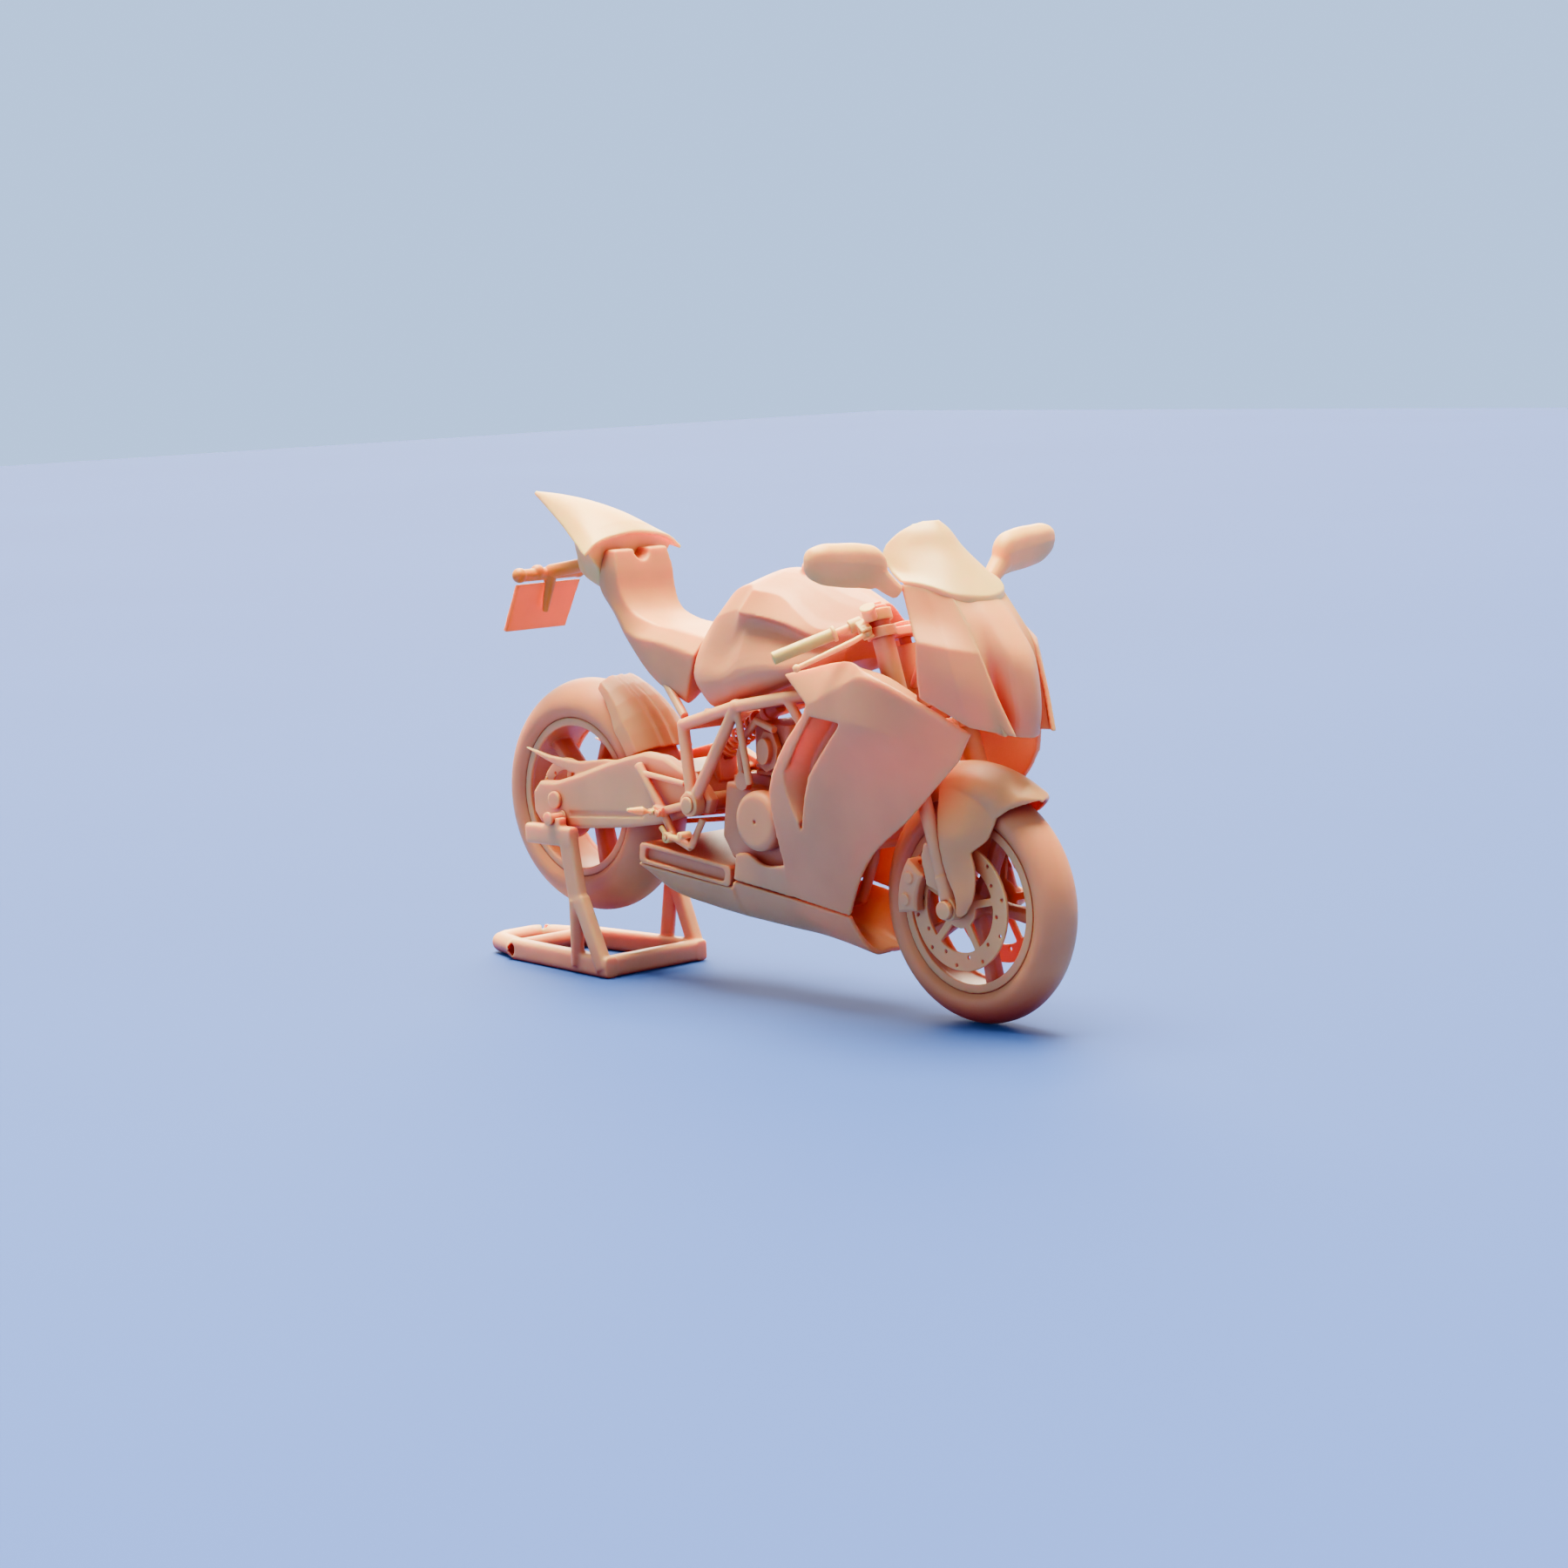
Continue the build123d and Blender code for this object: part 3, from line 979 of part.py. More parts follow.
toward_bar = Rot(0, 0, 28.5)
ears = Pos(-1.6, 0, 0) * Box(5.0, 2.3, 2.5) - Pos(0, 0, 0) * Box(3.0, 4.0, 1.2)
perch = fused(
    [
        rod(bar_point(0.15), bar_point(0.27), 1.45),
        in_lever_plane(toward_bar * ears),
        in_lever_plane(disc(LEVER_PIN_R, -1.2, 1.5)),
        in_lever_plane(Pos(-0.6, -2.6, 0) * disc(1.5, 1.6, 4.0)),
        in_lever_plane(Pos(-0.6, -2.6, 0) * disc(1.7, 4.0, 4.5)),
        in_lever_plane(rod((-0.6, -2.6, 2.0), (-1.4, -0.6, 0.8), 0.6)),
    ]
)
perch -= rod(bar_point(0.0), bar_point(1.0), BAR_CORE_R)
perch -= leg_rod(CLAMP_UP - 9, CLAMP_UP + 5, OUTER_R + 1.1)
keep("lever_perches", perch, mirrored(perch))
lever_bend, lever_tip = (-0.4, 4.2, 0), (-5.2, 16.1, 0)
lever = fused(
    [
        disc(1.15, -0.5, 0.5),
        rod((0.3, 0.9, 0), lever_bend, 0.5, 0.62),
        ball(lever_bend, 0.62),
        rod(lever_bend, lever_tip, 0.62, 0.55),
        ball(lever_tip, 0.85),
    ]
)
lever = in_lever_plane(lever - disc(LEVER_PIN_R + RUN, -3, 3))
keep("clutch_lever", lever)
keep("brake_lever", mirrored(lever))

# ---------------------------------------------------------------- footrests and foot controls
hanger = fused(
    [
        tube_run([(45.3, 14.3, 33.6), (38.5, 14.3, 31.2), (42.3, 14.3, 26.2), (48.0, 14.3, 24.8)], 0.95),
        tube_run([(38.5, 14.3, 31.2), (29.4, 13.9, 40.0)], 1.05),
        rod((30.6, 14.0, 38.4), (45.2, 14.2, 38.4), 0.65),
        rod((48.0, 14.3, 24.8), (50.6, 13.4, 31.5), 0.8),
        block(36.95, 40.05, 14.3, 16.1, 30.2, 32.4),
        y_cylinder(42.3, 26.2, 14.3, 17.2, 0.5),
        y_cylinder(42.3, 26.2, 14.3, 15.4, 1.2),
    ]
)
# The fold pin of a footpeg runs fore and aft at this height and distance from the middle.
PEG_Y, PEG_Z = 17.1, 31.3
PEG_PIN_R = 0.4
ears = block(37.1, 39.9, 16.0, 17.5, 30.4, 31.9) - block(37.55, 39.2, 16.2, 18.5, 29.0, 33.6)
peg_pin = rod((36.7, PEG_Y, PEG_Z), (40.3, PEG_Y, PEG_Z), PEG_PIN_R)
hanger = fused([hanger, ears, peg_pin])
keep("rearset_brackets", hanger, mirrored(hanger))


def along_peg(distance):
    """A point on the middle line of the left footpeg, so far out from its pin."""
    return (38.5 - 0.333 * distance, PEG_Y + 0.934 * distance, PEG_Z + 0.127 * distance)


peg = fused(
    [
        rod((38.0, PEG_Y, PEG_Z), (39.0, PEG_Y, PEG_Z), 0.75),
        rod(along_peg(0), along_peg(1.5), 0.42),
        rod(along_peg(1.5), along_peg(2.8), 0.42, 1.05),
        rod(along_peg(2.8), along_peg(6.3), 1.05, 0.35),
    ]
)
peg -= rod((36.0, PEG_Y, PEG_Z), (41.0, PEG_Y, PEG_Z), PEG_PIN_R + RUN)
keep("footpeg_left", peg)
keep("footpeg_right", mirrored(peg))
pedal = fused(
    [
        y_cylinder(42.3, 26.2, 15.5, 16.9, 1.15),
        tube_run([(42.9, 16.2, 26.5), (46.2, 16.2, 26.6), (49.2, 16.4, 28.2)], 0.65),
        y_cylinder(49.2, 28.2, 15.9, 19.0, 0.75),
        rod((42.3, 16.2, 26.2), (40.0, 16.2, 28.2), 0.55),
    ]
)
pedal -= y_cylinder(42.3, 26.2, 10, 20, 0.5 + RUN)
keep("gear_lever", pedal)
keep("brake_pedal", mirrored(pedal))

# ---------------------------------------------------------------- paddock stand, drawn in the row frame
def on_ground(x, y, z):
    """A point of the stand: x is measured from the rear axle."""
    return (x + ORIGIN_X, y, z)


def square_bar(a, b, wide, tall):
    """A straight bar of oblong section, with soft edges."""
    a, b = vec(a), vec(b)
    run = b - a
    side = Vector(-run.Y, run.X, 0)
    side = side.normalized() if side.length > 1e-6 else Vector(0, 1, 0)
    bar = Pos(0, 0, run.length / 2) * Box(wide, tall, run.length)
    bar = fillet(bar.edges().filter_by(Axis.Z), min(wide, tall) * 0.28)
    return Plane(origin=a, x_dir=side, z_dir=run).location * bar


spool_world = place(ball((SPOOL[0], 0, SPOOL[1]), 1)).center()
BASE_TALL, BASE_Z = 4.8, 2.4
HOOK_LOW, HOOK_HIGH = 31.0, 35.3
half_stand = [
    square_bar(on_ground(18.4, 13.6, BASE_Z), on_ground(-19.5, 10.4, BASE_Z), 3.4, BASE_TALL),
    square_bar(on_ground(16.4, 14.0, 1.8), on_ground(9.4, 14.4, 17.5), 3.0, 3.7),
    square_bar(on_ground(6.3, 13.3, 1.8), on_ground(7.6, 14.4, 17.0), 3.0, 3.3),
    square_bar(on_ground(8.9, 14.4, 15.0), on_ground(6.2, 14.6, 30.8), 2.8, 4.3),
    square_bar(on_ground(8.2, 14.6, HOOK_LOW + 0.2), on_ground(-7.4, 14.6, HOOK_LOW + 0.2), 2.9, 4.6),
    ball(on_ground(-19.8, 10.3, BASE_Z), 2.35),
    tube_run(
        [on_ground(-19.8, 9.5, BASE_Z), on_ground(-29.4, 6.6, BASE_Z), on_ground(-31.0, 3.6, BASE_Z)], 2.3
    ),
    block(ORIGIN_X - 0.8, ORIGIN_X + 4.4, 13.3, 15.9, HOOK_LOW, HOOK_HIGH),
]
slot_r = SPOOL_R + RUN
stand_left = fused(half_stand)
stand_left -= rod((spool_world.X, 5, spool_world.Z), (spool_world.X, 20, spool_world.Z), slot_r)
stand_left -= block(spool_world.X - slot_r, spool_world.X + slot_r, 12, 17, spool_world.Z, spool_world.Z + 4)
stand = fused(
    [
        stand_left,
        square_bar(on_ground(16.7, -13.0, BASE_Z), on_ground(16.7, 13.0, BASE_Z), 3.4, 4.7),
        rod(on_ground(-31.0, -4.0, BASE_Z), on_ground(-31.0, 4.0, BASE_Z), 2.25),
        rod(on_ground(-19.4, -10.0, BASE_Z), on_ground(-19.4, 10.0, BASE_Z), 2.1),
        mirrored(stand_left),
    ]
)
parts["paddock_stand"] = stand


os.makedirs("parts", exist_ok=True)
for name, shape in parts.items():
    export_step(shape, f"parts/{name}.step")
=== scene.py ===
"""The looks of a small resin display motorcycle on its paddock stand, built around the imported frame.

Bodywork is drawn in millimetres in the machine's level frame (X forward, Y left, Z up, origin on the
ground below the rear axle) and laid over the frame by LEVEL.  Every piece is closed and soft-edged, as cast
resin is.
"""

import json
from math import asin, cos, pi, radians, sin, sqrt

import bmesh
import bpy
import numpy as np
from mathutils import Matrix, Vector

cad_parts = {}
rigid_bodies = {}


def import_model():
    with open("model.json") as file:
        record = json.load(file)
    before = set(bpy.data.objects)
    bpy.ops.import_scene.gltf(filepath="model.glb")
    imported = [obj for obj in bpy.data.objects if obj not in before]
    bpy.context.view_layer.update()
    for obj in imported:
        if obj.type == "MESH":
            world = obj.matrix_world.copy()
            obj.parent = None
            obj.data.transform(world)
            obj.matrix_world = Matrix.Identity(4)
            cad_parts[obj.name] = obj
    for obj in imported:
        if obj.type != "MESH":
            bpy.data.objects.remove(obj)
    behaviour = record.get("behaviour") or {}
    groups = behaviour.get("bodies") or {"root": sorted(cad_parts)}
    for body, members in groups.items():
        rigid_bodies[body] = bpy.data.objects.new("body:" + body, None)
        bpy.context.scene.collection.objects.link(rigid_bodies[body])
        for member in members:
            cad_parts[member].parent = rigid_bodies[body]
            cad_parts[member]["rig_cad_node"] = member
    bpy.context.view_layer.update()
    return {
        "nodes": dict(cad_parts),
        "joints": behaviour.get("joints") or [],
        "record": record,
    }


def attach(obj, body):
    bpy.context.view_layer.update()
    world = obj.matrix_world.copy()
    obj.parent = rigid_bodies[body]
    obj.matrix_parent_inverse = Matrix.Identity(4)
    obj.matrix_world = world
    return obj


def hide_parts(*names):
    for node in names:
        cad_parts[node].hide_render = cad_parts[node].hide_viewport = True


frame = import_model()

# ---------------------------------------------------------------- the frame that the pieces are laid over
MM = 0.001
REAR_R, FRONT_R = 26.7, 25.0  # outer radii of the tyres
BODY_OF = {node: body for body, nodes in frame["record"]["behaviour"]["bodies"].items() for node in nodes}
SLOT_OF = {row["node"]: row["material_slot"] for row in frame["record"]["subparts"]}


def joint_at(name):
    """Where a joint of the frame is, in metres."""
    return Vector(next(j["pos_m"] for j in frame["joints"] if j["name"] == name))


REAR_HUB, FRONT_HUB = joint_at("rear_wheel_spin"), joint_at("front_wheel_spin")
WHEELBASE = (FRONT_HUB - REAR_HUB).length / MM
PITCH = asin((REAR_HUB.z - FRONT_HUB.z) / MM / WHEELBASE) - asin((REAR_R - FRONT_R) / WHEELBASE)
LEVEL = (
    Matrix.Translation(REAR_HUB)
    @ Matrix.Rotation(PITCH, 4, "Y")
    @ Matrix.Scale(MM, 4)
    @ Matrix.Translation((0, 0, -REAR_R))
)
AXLE_SPAN = sqrt(WHEELBASE**2 - (REAR_R - FRONT_R) ** 2)
FRONT_AXLE = (AXLE_SPAN, 0.0, FRONT_R)


# ---------------------------------------------------------------- smooth surfaces
def through(points, steps, sharp=(), closed=False):
    """Points along a smooth line through rows of points, with a corner at each sharp row."""
    p = np.asarray(points, float)
    count = len(p)
    spans = count if closed else count - 1

    def slope(i, j):
        run = np.linalg.norm((p[j % count] - p[i % count]).reshape(-1, 3), axis=1).mean()
        return (p[j % count] - p[i % count]) / max(run, 1e-9), run

    made = []
    for i in range(spans):
        own, run = slope(i, i + 1)
        start, end = own, own
        if (closed or i > 0) and i not in sharp:
            before, back = slope(i - 1, i)
            start = (before * run + own * back) / (run + back)
        if (closed or i < count - 2) and (i + 1) % count not in sharp:
            after, ahead = slope(i + 1, i + 2)
            end = (after * run + own * ahead) / (run + ahead)
        a, b = p[i], p[(i + 1) % count]
        for k in range(steps):
            t = k / steps
            h00, h10 = 2 * t**3 - 3 * t**2 + 1, t**3 - 2 * t**2 + t
            h01, h11 = -2 * t**3 + 3 * t**2, t**3 - t**2
            made.append(h00 * a + h10 * run * start + h01 * b + h11 * run * end)
    if not closed:
        made.append(p[-1])
    return np.array(made)


def smooth_grid(rows, steps, sharp_rows=(), sharp_cols=(), closed=False):
    grid = through(rows, steps, sharp_rows)
    return np.swapaxes(through(np.swapaxes(grid, 0, 1), steps, sharp_cols, closed), 0, 1)


def quads(rows, cols, wrap, first, flip):
    """Faces of a grid of points numbered from first."""
    faces = []
    for i in range(rows - 1):
        for j in range(cols if wrap else cols - 1):
            k = (j + 1) % cols
            near, far = first + i * cols, first + (i + 1) * cols
            face = (near + j, near + k, far + k, far + j)
            faces.append(face[::-1] if flip else face)
    return faces


def panel(rows, core, depth, steps=5, sharp_rows=(), sharp_cols=()):
    """A closed panel: its outer face runs through the rows of points, its thickness goes towards core."""
    outer = smooth_grid(rows, steps, sharp_rows, sharp_cols)
    n, m = outer.shape[:2]
    along, across = np.gradient(outer, axis=1), np.gradient(outer, axis=0)
    normal = np.cross(along, across)
    normal /= np.linalg.norm(normal, axis=2, keepdims=True) + 1e-12
    towards = np.array(core) - outer[n // 2, m // 2]
    if np.dot(normal[n // 2, m // 2], towards) < 0:
        normal = -normal
    inner = outer + normal * depth
    verts = np.concatenate([outer.reshape(-1, 3), inner.reshape(-1, 3)])
    size = n * m
    faces = quads(n, m, False, 0, False) + quads(n, m, False, size, True)
    edge = [(0, j) for j in range(m - 1)] + [(i, m - 1) for i in range(n - 1)]
    edge += [(n - 1, j) for j in range(m - 1, 0, -1)] + [(i, 0) for i in range(n - 1, 0, -1)]
    loop = [i * m + j for i, j in edge]
    for a, b in zip(loop, loop[1:] + loop[:1]):
        faces.append((b, a, a + size, b + size))
    return verts, faces


def loft(rings, steps=5, sharp_rings=(), sharp_cols=()):
    """A closed body through rings of points."""
    grid = smooth_grid(rings, steps, sharp_rings, sharp_cols, closed=True)
    n, m = grid.shape[:2]
    verts = np.concatenate([grid.reshape(-1, 3), [grid[0].mean(0), grid[-1].mean(0)]])
    faces = quads(n, m, True, 0, False)
    for j in range(m):
        k = (j + 1) % m
        faces.append((n * m, k, j))
        faces.append((n * m + 1, (n - 1) * m + j, (n - 1) * m + k))
    return verts, faces


# Only has to differ from the direction of every bar.
ANY_DIRECTION = (0.31, 0.87, 0.38)


def swept(path, radii, sides=14):
    """A round bar along a path, with a radius at each point."""
    path = np.asarray(path, float)
    rings = []
    side = None
    for i, p in enumerate(path):
        run = path[min(i + 1, len(path) - 1)] - path[max(i - 1, 0)]
        run /= np.linalg.norm(run)
        if side is None:
            side = np.cross(run, ANY_DIRECTION)
        side = side - run * np.dot(side, run)
        side /= np.linalg.norm(side)
        up = np.cross(run, side)
        turns = [2 * pi * k / sides for k in range(sides)]
        rings.append([p + radii[i] * (cos(a) * side + sin(a) * up) for a in turns])
    grid = np.array(rings)
    n, m = grid.shape[:2]
    verts = np.concatenate([grid.reshape(-1, 3), [path[0], path[-1]]])
    faces = quads(n, m, True, 0, False)
    for j in range(m):
        k = (j + 1) % m
        faces.append((n * m, k, j))
        faces.append((n * m + 1, (n - 1) * m + j, (n - 1) * m + k))
    return verts, faces


def bar(points, r, r_end=None, steps=6):
    """A round bar along a smooth line through points."""
    path = through(points, steps)
    ends = np.linspace(r, r if r_end is None else r_end, len(path))
    return swept(path, ends)


def prism(outline, y0, y1):
    """A flat plate with an (x, z) outline, from y0 to y1."""
    n = len(outline)
    verts = [(x, y0, z) for x, z in outline] + [(x, y1, z) for x, z in outline]
    faces = [tuple(range(n)), tuple(range(2 * n - 1, n - 1, -1))]
    faces += [((i + 1) % n, i, n + i, n + (i + 1) % n) for i in range(n)]
    return np.array(verts, float), faces


def mirrored(mesh):
    """The same shape on the other side of the machine."""
    verts, faces = mesh
    return verts * np.array([1, -1, 1]), [tuple(reversed(f)) for f in faces]


def both_sides(half):
    """Points from the right side to the left: a half section from its outer end to the middle, mirrored."""
    right = [(x, -y, z) for x, y, z in half]
    left = [(x, y, z) for x, y, z in reversed(half)]
    return right + (left[1:] if abs(half[-1][1]) < 1e-9 else left)


def right_side(rows):
    """Rows that were written for the left side, on the right."""
    return [[(x, -y, z) for x, y, z in row] for row in rows]


def whole(half):
    """A closed ring from the half that runs from its bottom middle to its top middle."""
    return list(half) + [(x, -y, z) for x, y, z in half[1:-1]][::-1]


def around(centre, radius, angle, y):
    """A point at an angle round a wheel's axle, at distance y to the left."""
    return (centre[0] + radius * cos(radians(angle)), y, centre[2] + radius * sin(radians(angle)))


# ---------------------------------------------------------------- from closed shapes to soft resin pieces
def raw_object(name, mesh, matrix=LEVEL):
    verts, faces = mesh
    data = bpy.data.meshes.new(name)
    data.from_pydata([tuple(v) for v in verts], [], faces)
    data.transform(matrix)
    data.update()
    obj = bpy.data.objects.new(name, data)
    bpy.context.scene.collection.objects.link(obj)
    return obj


def outward(obj):
    """Makes a closed mesh's faces look outwards."""
    work = bmesh.new()
    work.from_mesh(obj.data)
    bmesh.ops.recalc_face_normals(work, faces=work.faces)
    work.to_mesh(obj.data)
    work.free()
    return obj


def settled(obj):
    """The object with its modifiers applied."""
    bpy.context.view_layer.update()
    shown = obj.evaluated_get(bpy.context.evaluated_depsgraph_get())
    data = bpy.data.meshes.new_from_object(shown)
    obj.modifiers.clear()
    obj.data = data
    return obj


def minus(obj, *cutters):
    """Cuts closed shapes out of a closed object."""
    for cutter in cutters:
        tool = outward(raw_object("cutter", cutter))
        step = obj.modifiers.new("cut", "BOOLEAN")
        step.operation = "DIFFERENCE"
        step.solver = "EXACT"
        step.object = tool
        settled(obj)
        bpy.data.objects.remove(tool)
    return obj


def joined(name, objects):
    """One object that holds the meshes of several."""
    verts, faces = [], []
    for obj in objects:
        base = len(verts)
        world = obj.matrix_world
        verts += [tuple(world @ v.co) for v in obj.data.vertices]
        faces += [tuple(base + i for i in p.vertices) for p in obj.data.polygons]
    for obj in objects:
        if "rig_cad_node" not in obj:
            bpy.data.objects.remove(obj)
    return raw_object(name, (verts, faces), Matrix.Identity(4))


def softened(obj, grain, rounds):
    """One closed skin with soft edges.

    grain is the mesh size in millimetres, rounds is how much the edges are eased.
    """
    step = obj.modifiers.new("skin", "REMESH")
    step.mode = "VOXEL"
    step.voxel_size = grain * MM
    step.use_smooth_shade = True
    ease = obj.modifiers.new("ease", "SMOOTH")
    ease.factor = 0.5
    ease.iterations = rounds
    return settled(obj)


def piece(name, node, obj, material=None):
    """Names a finished object, dresses it and lets it ride with its CAD node's body.

    The material is the one of its slot, unless another resin tone is named.
    """
    obj.name = name
    obj.data.name = name
    for poly in obj.data.polygons:
        poly.use_smooth = True
    obj.data.materials.clear()
    obj.data.materials.append(MATERIALS[material or SLOT_OF[node]])
    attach(obj, BODY_OF[node])
    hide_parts(node)
    return obj


def resin(name, node, shapes, grain=0.3, rounds=6, cuts=(), material=None):
    """A finished piece from closed shapes, with other closed shapes cut out of it."""
    objects = [outward(raw_object("shape", s)) if isinstance(s, tuple) else s for s in shapes]
    body = softened(joined(name, objects), grain, 1 if cuts else rounds)
    if cuts:
        body = softened(minus(body, *cuts), grain, rounds)
    return piece(name, node, body, material)


# ---------------------------------------------------------------- materials
def mixed(tree, factor, low, high):
    """A blend of two colours, each one plain or from a socket."""
    node = tree.nodes.new("ShaderNodeMix")
    node.data_type = "RGBA"
    for socket, value in ((node.inputs[0], factor), (node.inputs[6], low), (node.inputs[7], high)):
        if isinstance(value, bpy.types.NodeSocket):
            tree.links.new(value, socket)
        elif isinstance(value, tuple):
            socket.default_value = (*value, 1.0)
        else:
            socket.default_value = value
    return node.outputs[2]


def mapped(tree, value, low, high, to_low=0.0, to_high=1.0):
    """A value stretched from one range to another."""
    node = tree.nodes.new("ShaderNodeMapRange")
    node.inputs["From Min"].default_value = low
    node.inputs["From Max"].default_value = high
    node.inputs["To Min"].default_value = to_low
    node.inputs["To Max"].default_value = to_high
    tree.links.new(value, node.inputs["Value"])
    return node.outputs[0]


def noise(tree, scale, detail=3.0):
    """Soft random cells that stay with the object."""
    place = tree.nodes.new("ShaderNodeTexCoord")
    node = tree.nodes.new("ShaderNodeTexNoise")
    node.inputs["Scale"].default_value = scale
    node.inputs["Detail"].default_value = detail
    tree.links.new(place.outputs["Object"], node.inputs["Vector"])
    return node.outputs["Fac"]


def shadow_of_neighbours(tree, distance, inside=False):
    """How open a point is to its surroundings, or, with inside, to the inside of its own wall."""
    node = tree.nodes.new("ShaderNodeAmbientOcclusion")
    node.inputs["Distance"].default_value = distance
    node.samples = RECESS_SAMPLES
    node.inside = inside
    return node.outputs["AO"]


def bumps(tree, height, strength, distance):
    """Small relief made by a value."""
    node = tree.nodes.new("ShaderNodeBump")
    node.inputs["Strength"].default_value = strength
    node.inputs["Distance"].default_value = distance
    tree.links.new(height, node.inputs["Height"])
    return node


def resin_material(name, body, painted_shade, painted_glow, roughness, painted_glow_amount):
    """Translucent cast resin, with painted shade that makes its recesses darker and redder, and a painted
    glow that makes it yellower where it is thin.
    """
    made = bpy.data.materials.new(name)
    made.use_nodes = True
    tree = made.node_tree
    shader = tree.nodes["Principled BSDF"]
    clouds = noise(tree, CLOUD_SCALE, 2.0)
    darker = tuple(c * CLOUD_DEPTH for c in body)
    tone = mixed(tree, mapped(tree, clouds, *NOISE_SPAN), body, darker)
    # Painted shade: the less open a point is to its surroundings, the more its colour turns to the painted
    # shade colour.
    open_share = mapped(tree, shadow_of_neighbours(tree, RECESS_REACH), *RECESS_SPAN)
    with_painted_shade = mixed(tree, open_share, painted_shade, tone)
    # Painted glow: where the wall is thin, the colour turns towards the painted glow colour.
    wall = shadow_of_neighbours(tree, THIN_WALL, inside=True)
    painted_glow_share = mapped(tree, wall, *WALL_SPAN, painted_glow_amount, 0.0)
    final = mixed(tree, painted_glow_share, with_painted_shade, painted_glow)
    tree.links.new(final, shader.inputs["Base Color"])
    grain = noise(tree, GRAIN_SCALE, 4.0)
    rough = mapped(tree, grain, *NOISE_SPAN, roughness - 0.06, roughness + 0.08)
    tree.links.new(rough, shader.inputs["Roughness"])
    fine = bumps(tree, grain, 0.15, 0.05 * MM)
    lumps = bumps(tree, noise(tree, LUMP_SCALE, 2.0), 0.3, 0.12 * MM)
    tree.links.new(fine.outputs["Normal"], lumps.inputs["Normal"])
    tree.links.new(lumps.outputs["Normal"], shader.inputs["Normal"])
    shader.inputs["Subsurface Weight"].default_value = 1.0
    shader.inputs["Subsurface Radius"].default_value = GLOW_REACH
    shader.inputs["Subsurface Scale"].default_value = GLOW_DEPTH
    shader.inputs["IOR"].default_value = RESIN_IOR
    shader.inputs["Specular IOR Level"].default_value = 0.4
    return made


# Noise scales are in cells per metre.
CLOUD_SCALE, LUMP_SCALE, GRAIN_SCALE = 90.0, 420.0, 2600.0
CLOUD_DEPTH = 0.88
NOISE_SPAN = (0.3, 0.7)
# Painted shade makes recesses darker and redder, and a painted glow lights thin walls, over these spans of
# openness.
THIN_WALL = 2.4 * MM
RECESS_REACH = 16 * MM
RECESS_SAMPLES = 8
RECESS_SPAN, WALL_SPAN = (0.22, 0.86), (0.1, 0.6)
# How far red, green and blue light travel in the resin.
GLOW_REACH = (1.0, 0.42, 0.2)
GLOW_DEPTH = 3.4 * MM
RESIN_IOR = 1.48
# Colours of the painted shade in recesses.
PAINTED_SHADE = (0.52, 0.035, 0.016)
WARM_PAINTED_SHADE = (0.95, 0.30, 0.06)
# Colour of the painted glow of thin walls.
PAINTED_GLOW = (0.98, 0.42, 0.09)
# Resin name: main colour, colour of the painted shade in its recesses, roughness, strength of the painted
# glow of its thin walls.
RESINS = {
    "body_resin": ((0.82, 0.30, 0.10), PAINTED_SHADE, 0.42, 0.08),
    # Painted glow: the windscreen's resin is yellower and brighter, with more painted glow in its thin
    # walls, standing in for light shining through it.
    "screen_resin": ((0.94, 0.52, 0.17), WARM_PAINTED_SHADE, 0.38, 0.25),
    "seat_resin": ((0.84, 0.32, 0.095), PAINTED_SHADE, 0.50, 0.0),
    "frame_resin": ((0.86, 0.38, 0.135), PAINTED_SHADE, 0.45, 0.0),
    "engine_resin": ((0.80, 0.31, 0.11), PAINTED_SHADE, 0.46, 0.0),
    "wheel_resin": ((0.86, 0.37, 0.125), PAINTED_SHADE, 0.42, 0.15),
    "tyre_resin": ((0.80, 0.27, 0.085), PAINTED_SHADE, 0.50, 0.0),
    "hardware_resin": ((0.86, 0.36, 0.13), PAINTED_SHADE, 0.42, 0.1),
    # Painted glow: the controls' resin is yellower and brighter, with a strong painted glow in its thin
    # walls, standing in for light shining through them.
    "control_resin": ((0.96, 0.55, 0.16), PAINTED_SHADE, 0.40, 0.7),
    "stand_resin": ((0.86, 0.39, 0.145), PAINTED_SHADE, 0.46, 0.0),
    # Painted light: a paler copy of the resin for the tail cowl and mirrors, whose tops are lit.
    "pale_resin": ((0.93, 0.50, 0.13), WARM_PAINTED_SHADE, 0.42, 0.05),
    # Painted glow: a deeper, more saturated orange for the number plate and its bracket, standing in for
    # light shining through the thin plate.
    "plate_resin": ((0.60, 0.21, 0.003), WARM_PAINTED_SHADE, 0.42, 0.0),
}
MATERIALS = {
    name: resin_material(name, body, painted_shade, PAINTED_GLOW, rough, painted_glow)
    for name, (body, painted_shade, rough, painted_glow) in RESINS.items()
}

# ---------------------------------------------------------------- bodywork
# Rows are half sections, from the outer edge towards the middle, or (x, y, z) points along a panel.
SKIN, THIN_SKIN = 1.1, 0.9  # wall thickness of panels
MIDDLE, FRONT_MIDDLE = (90.0, 0.0, 50.0), (108.0, 0.0, 76.0)

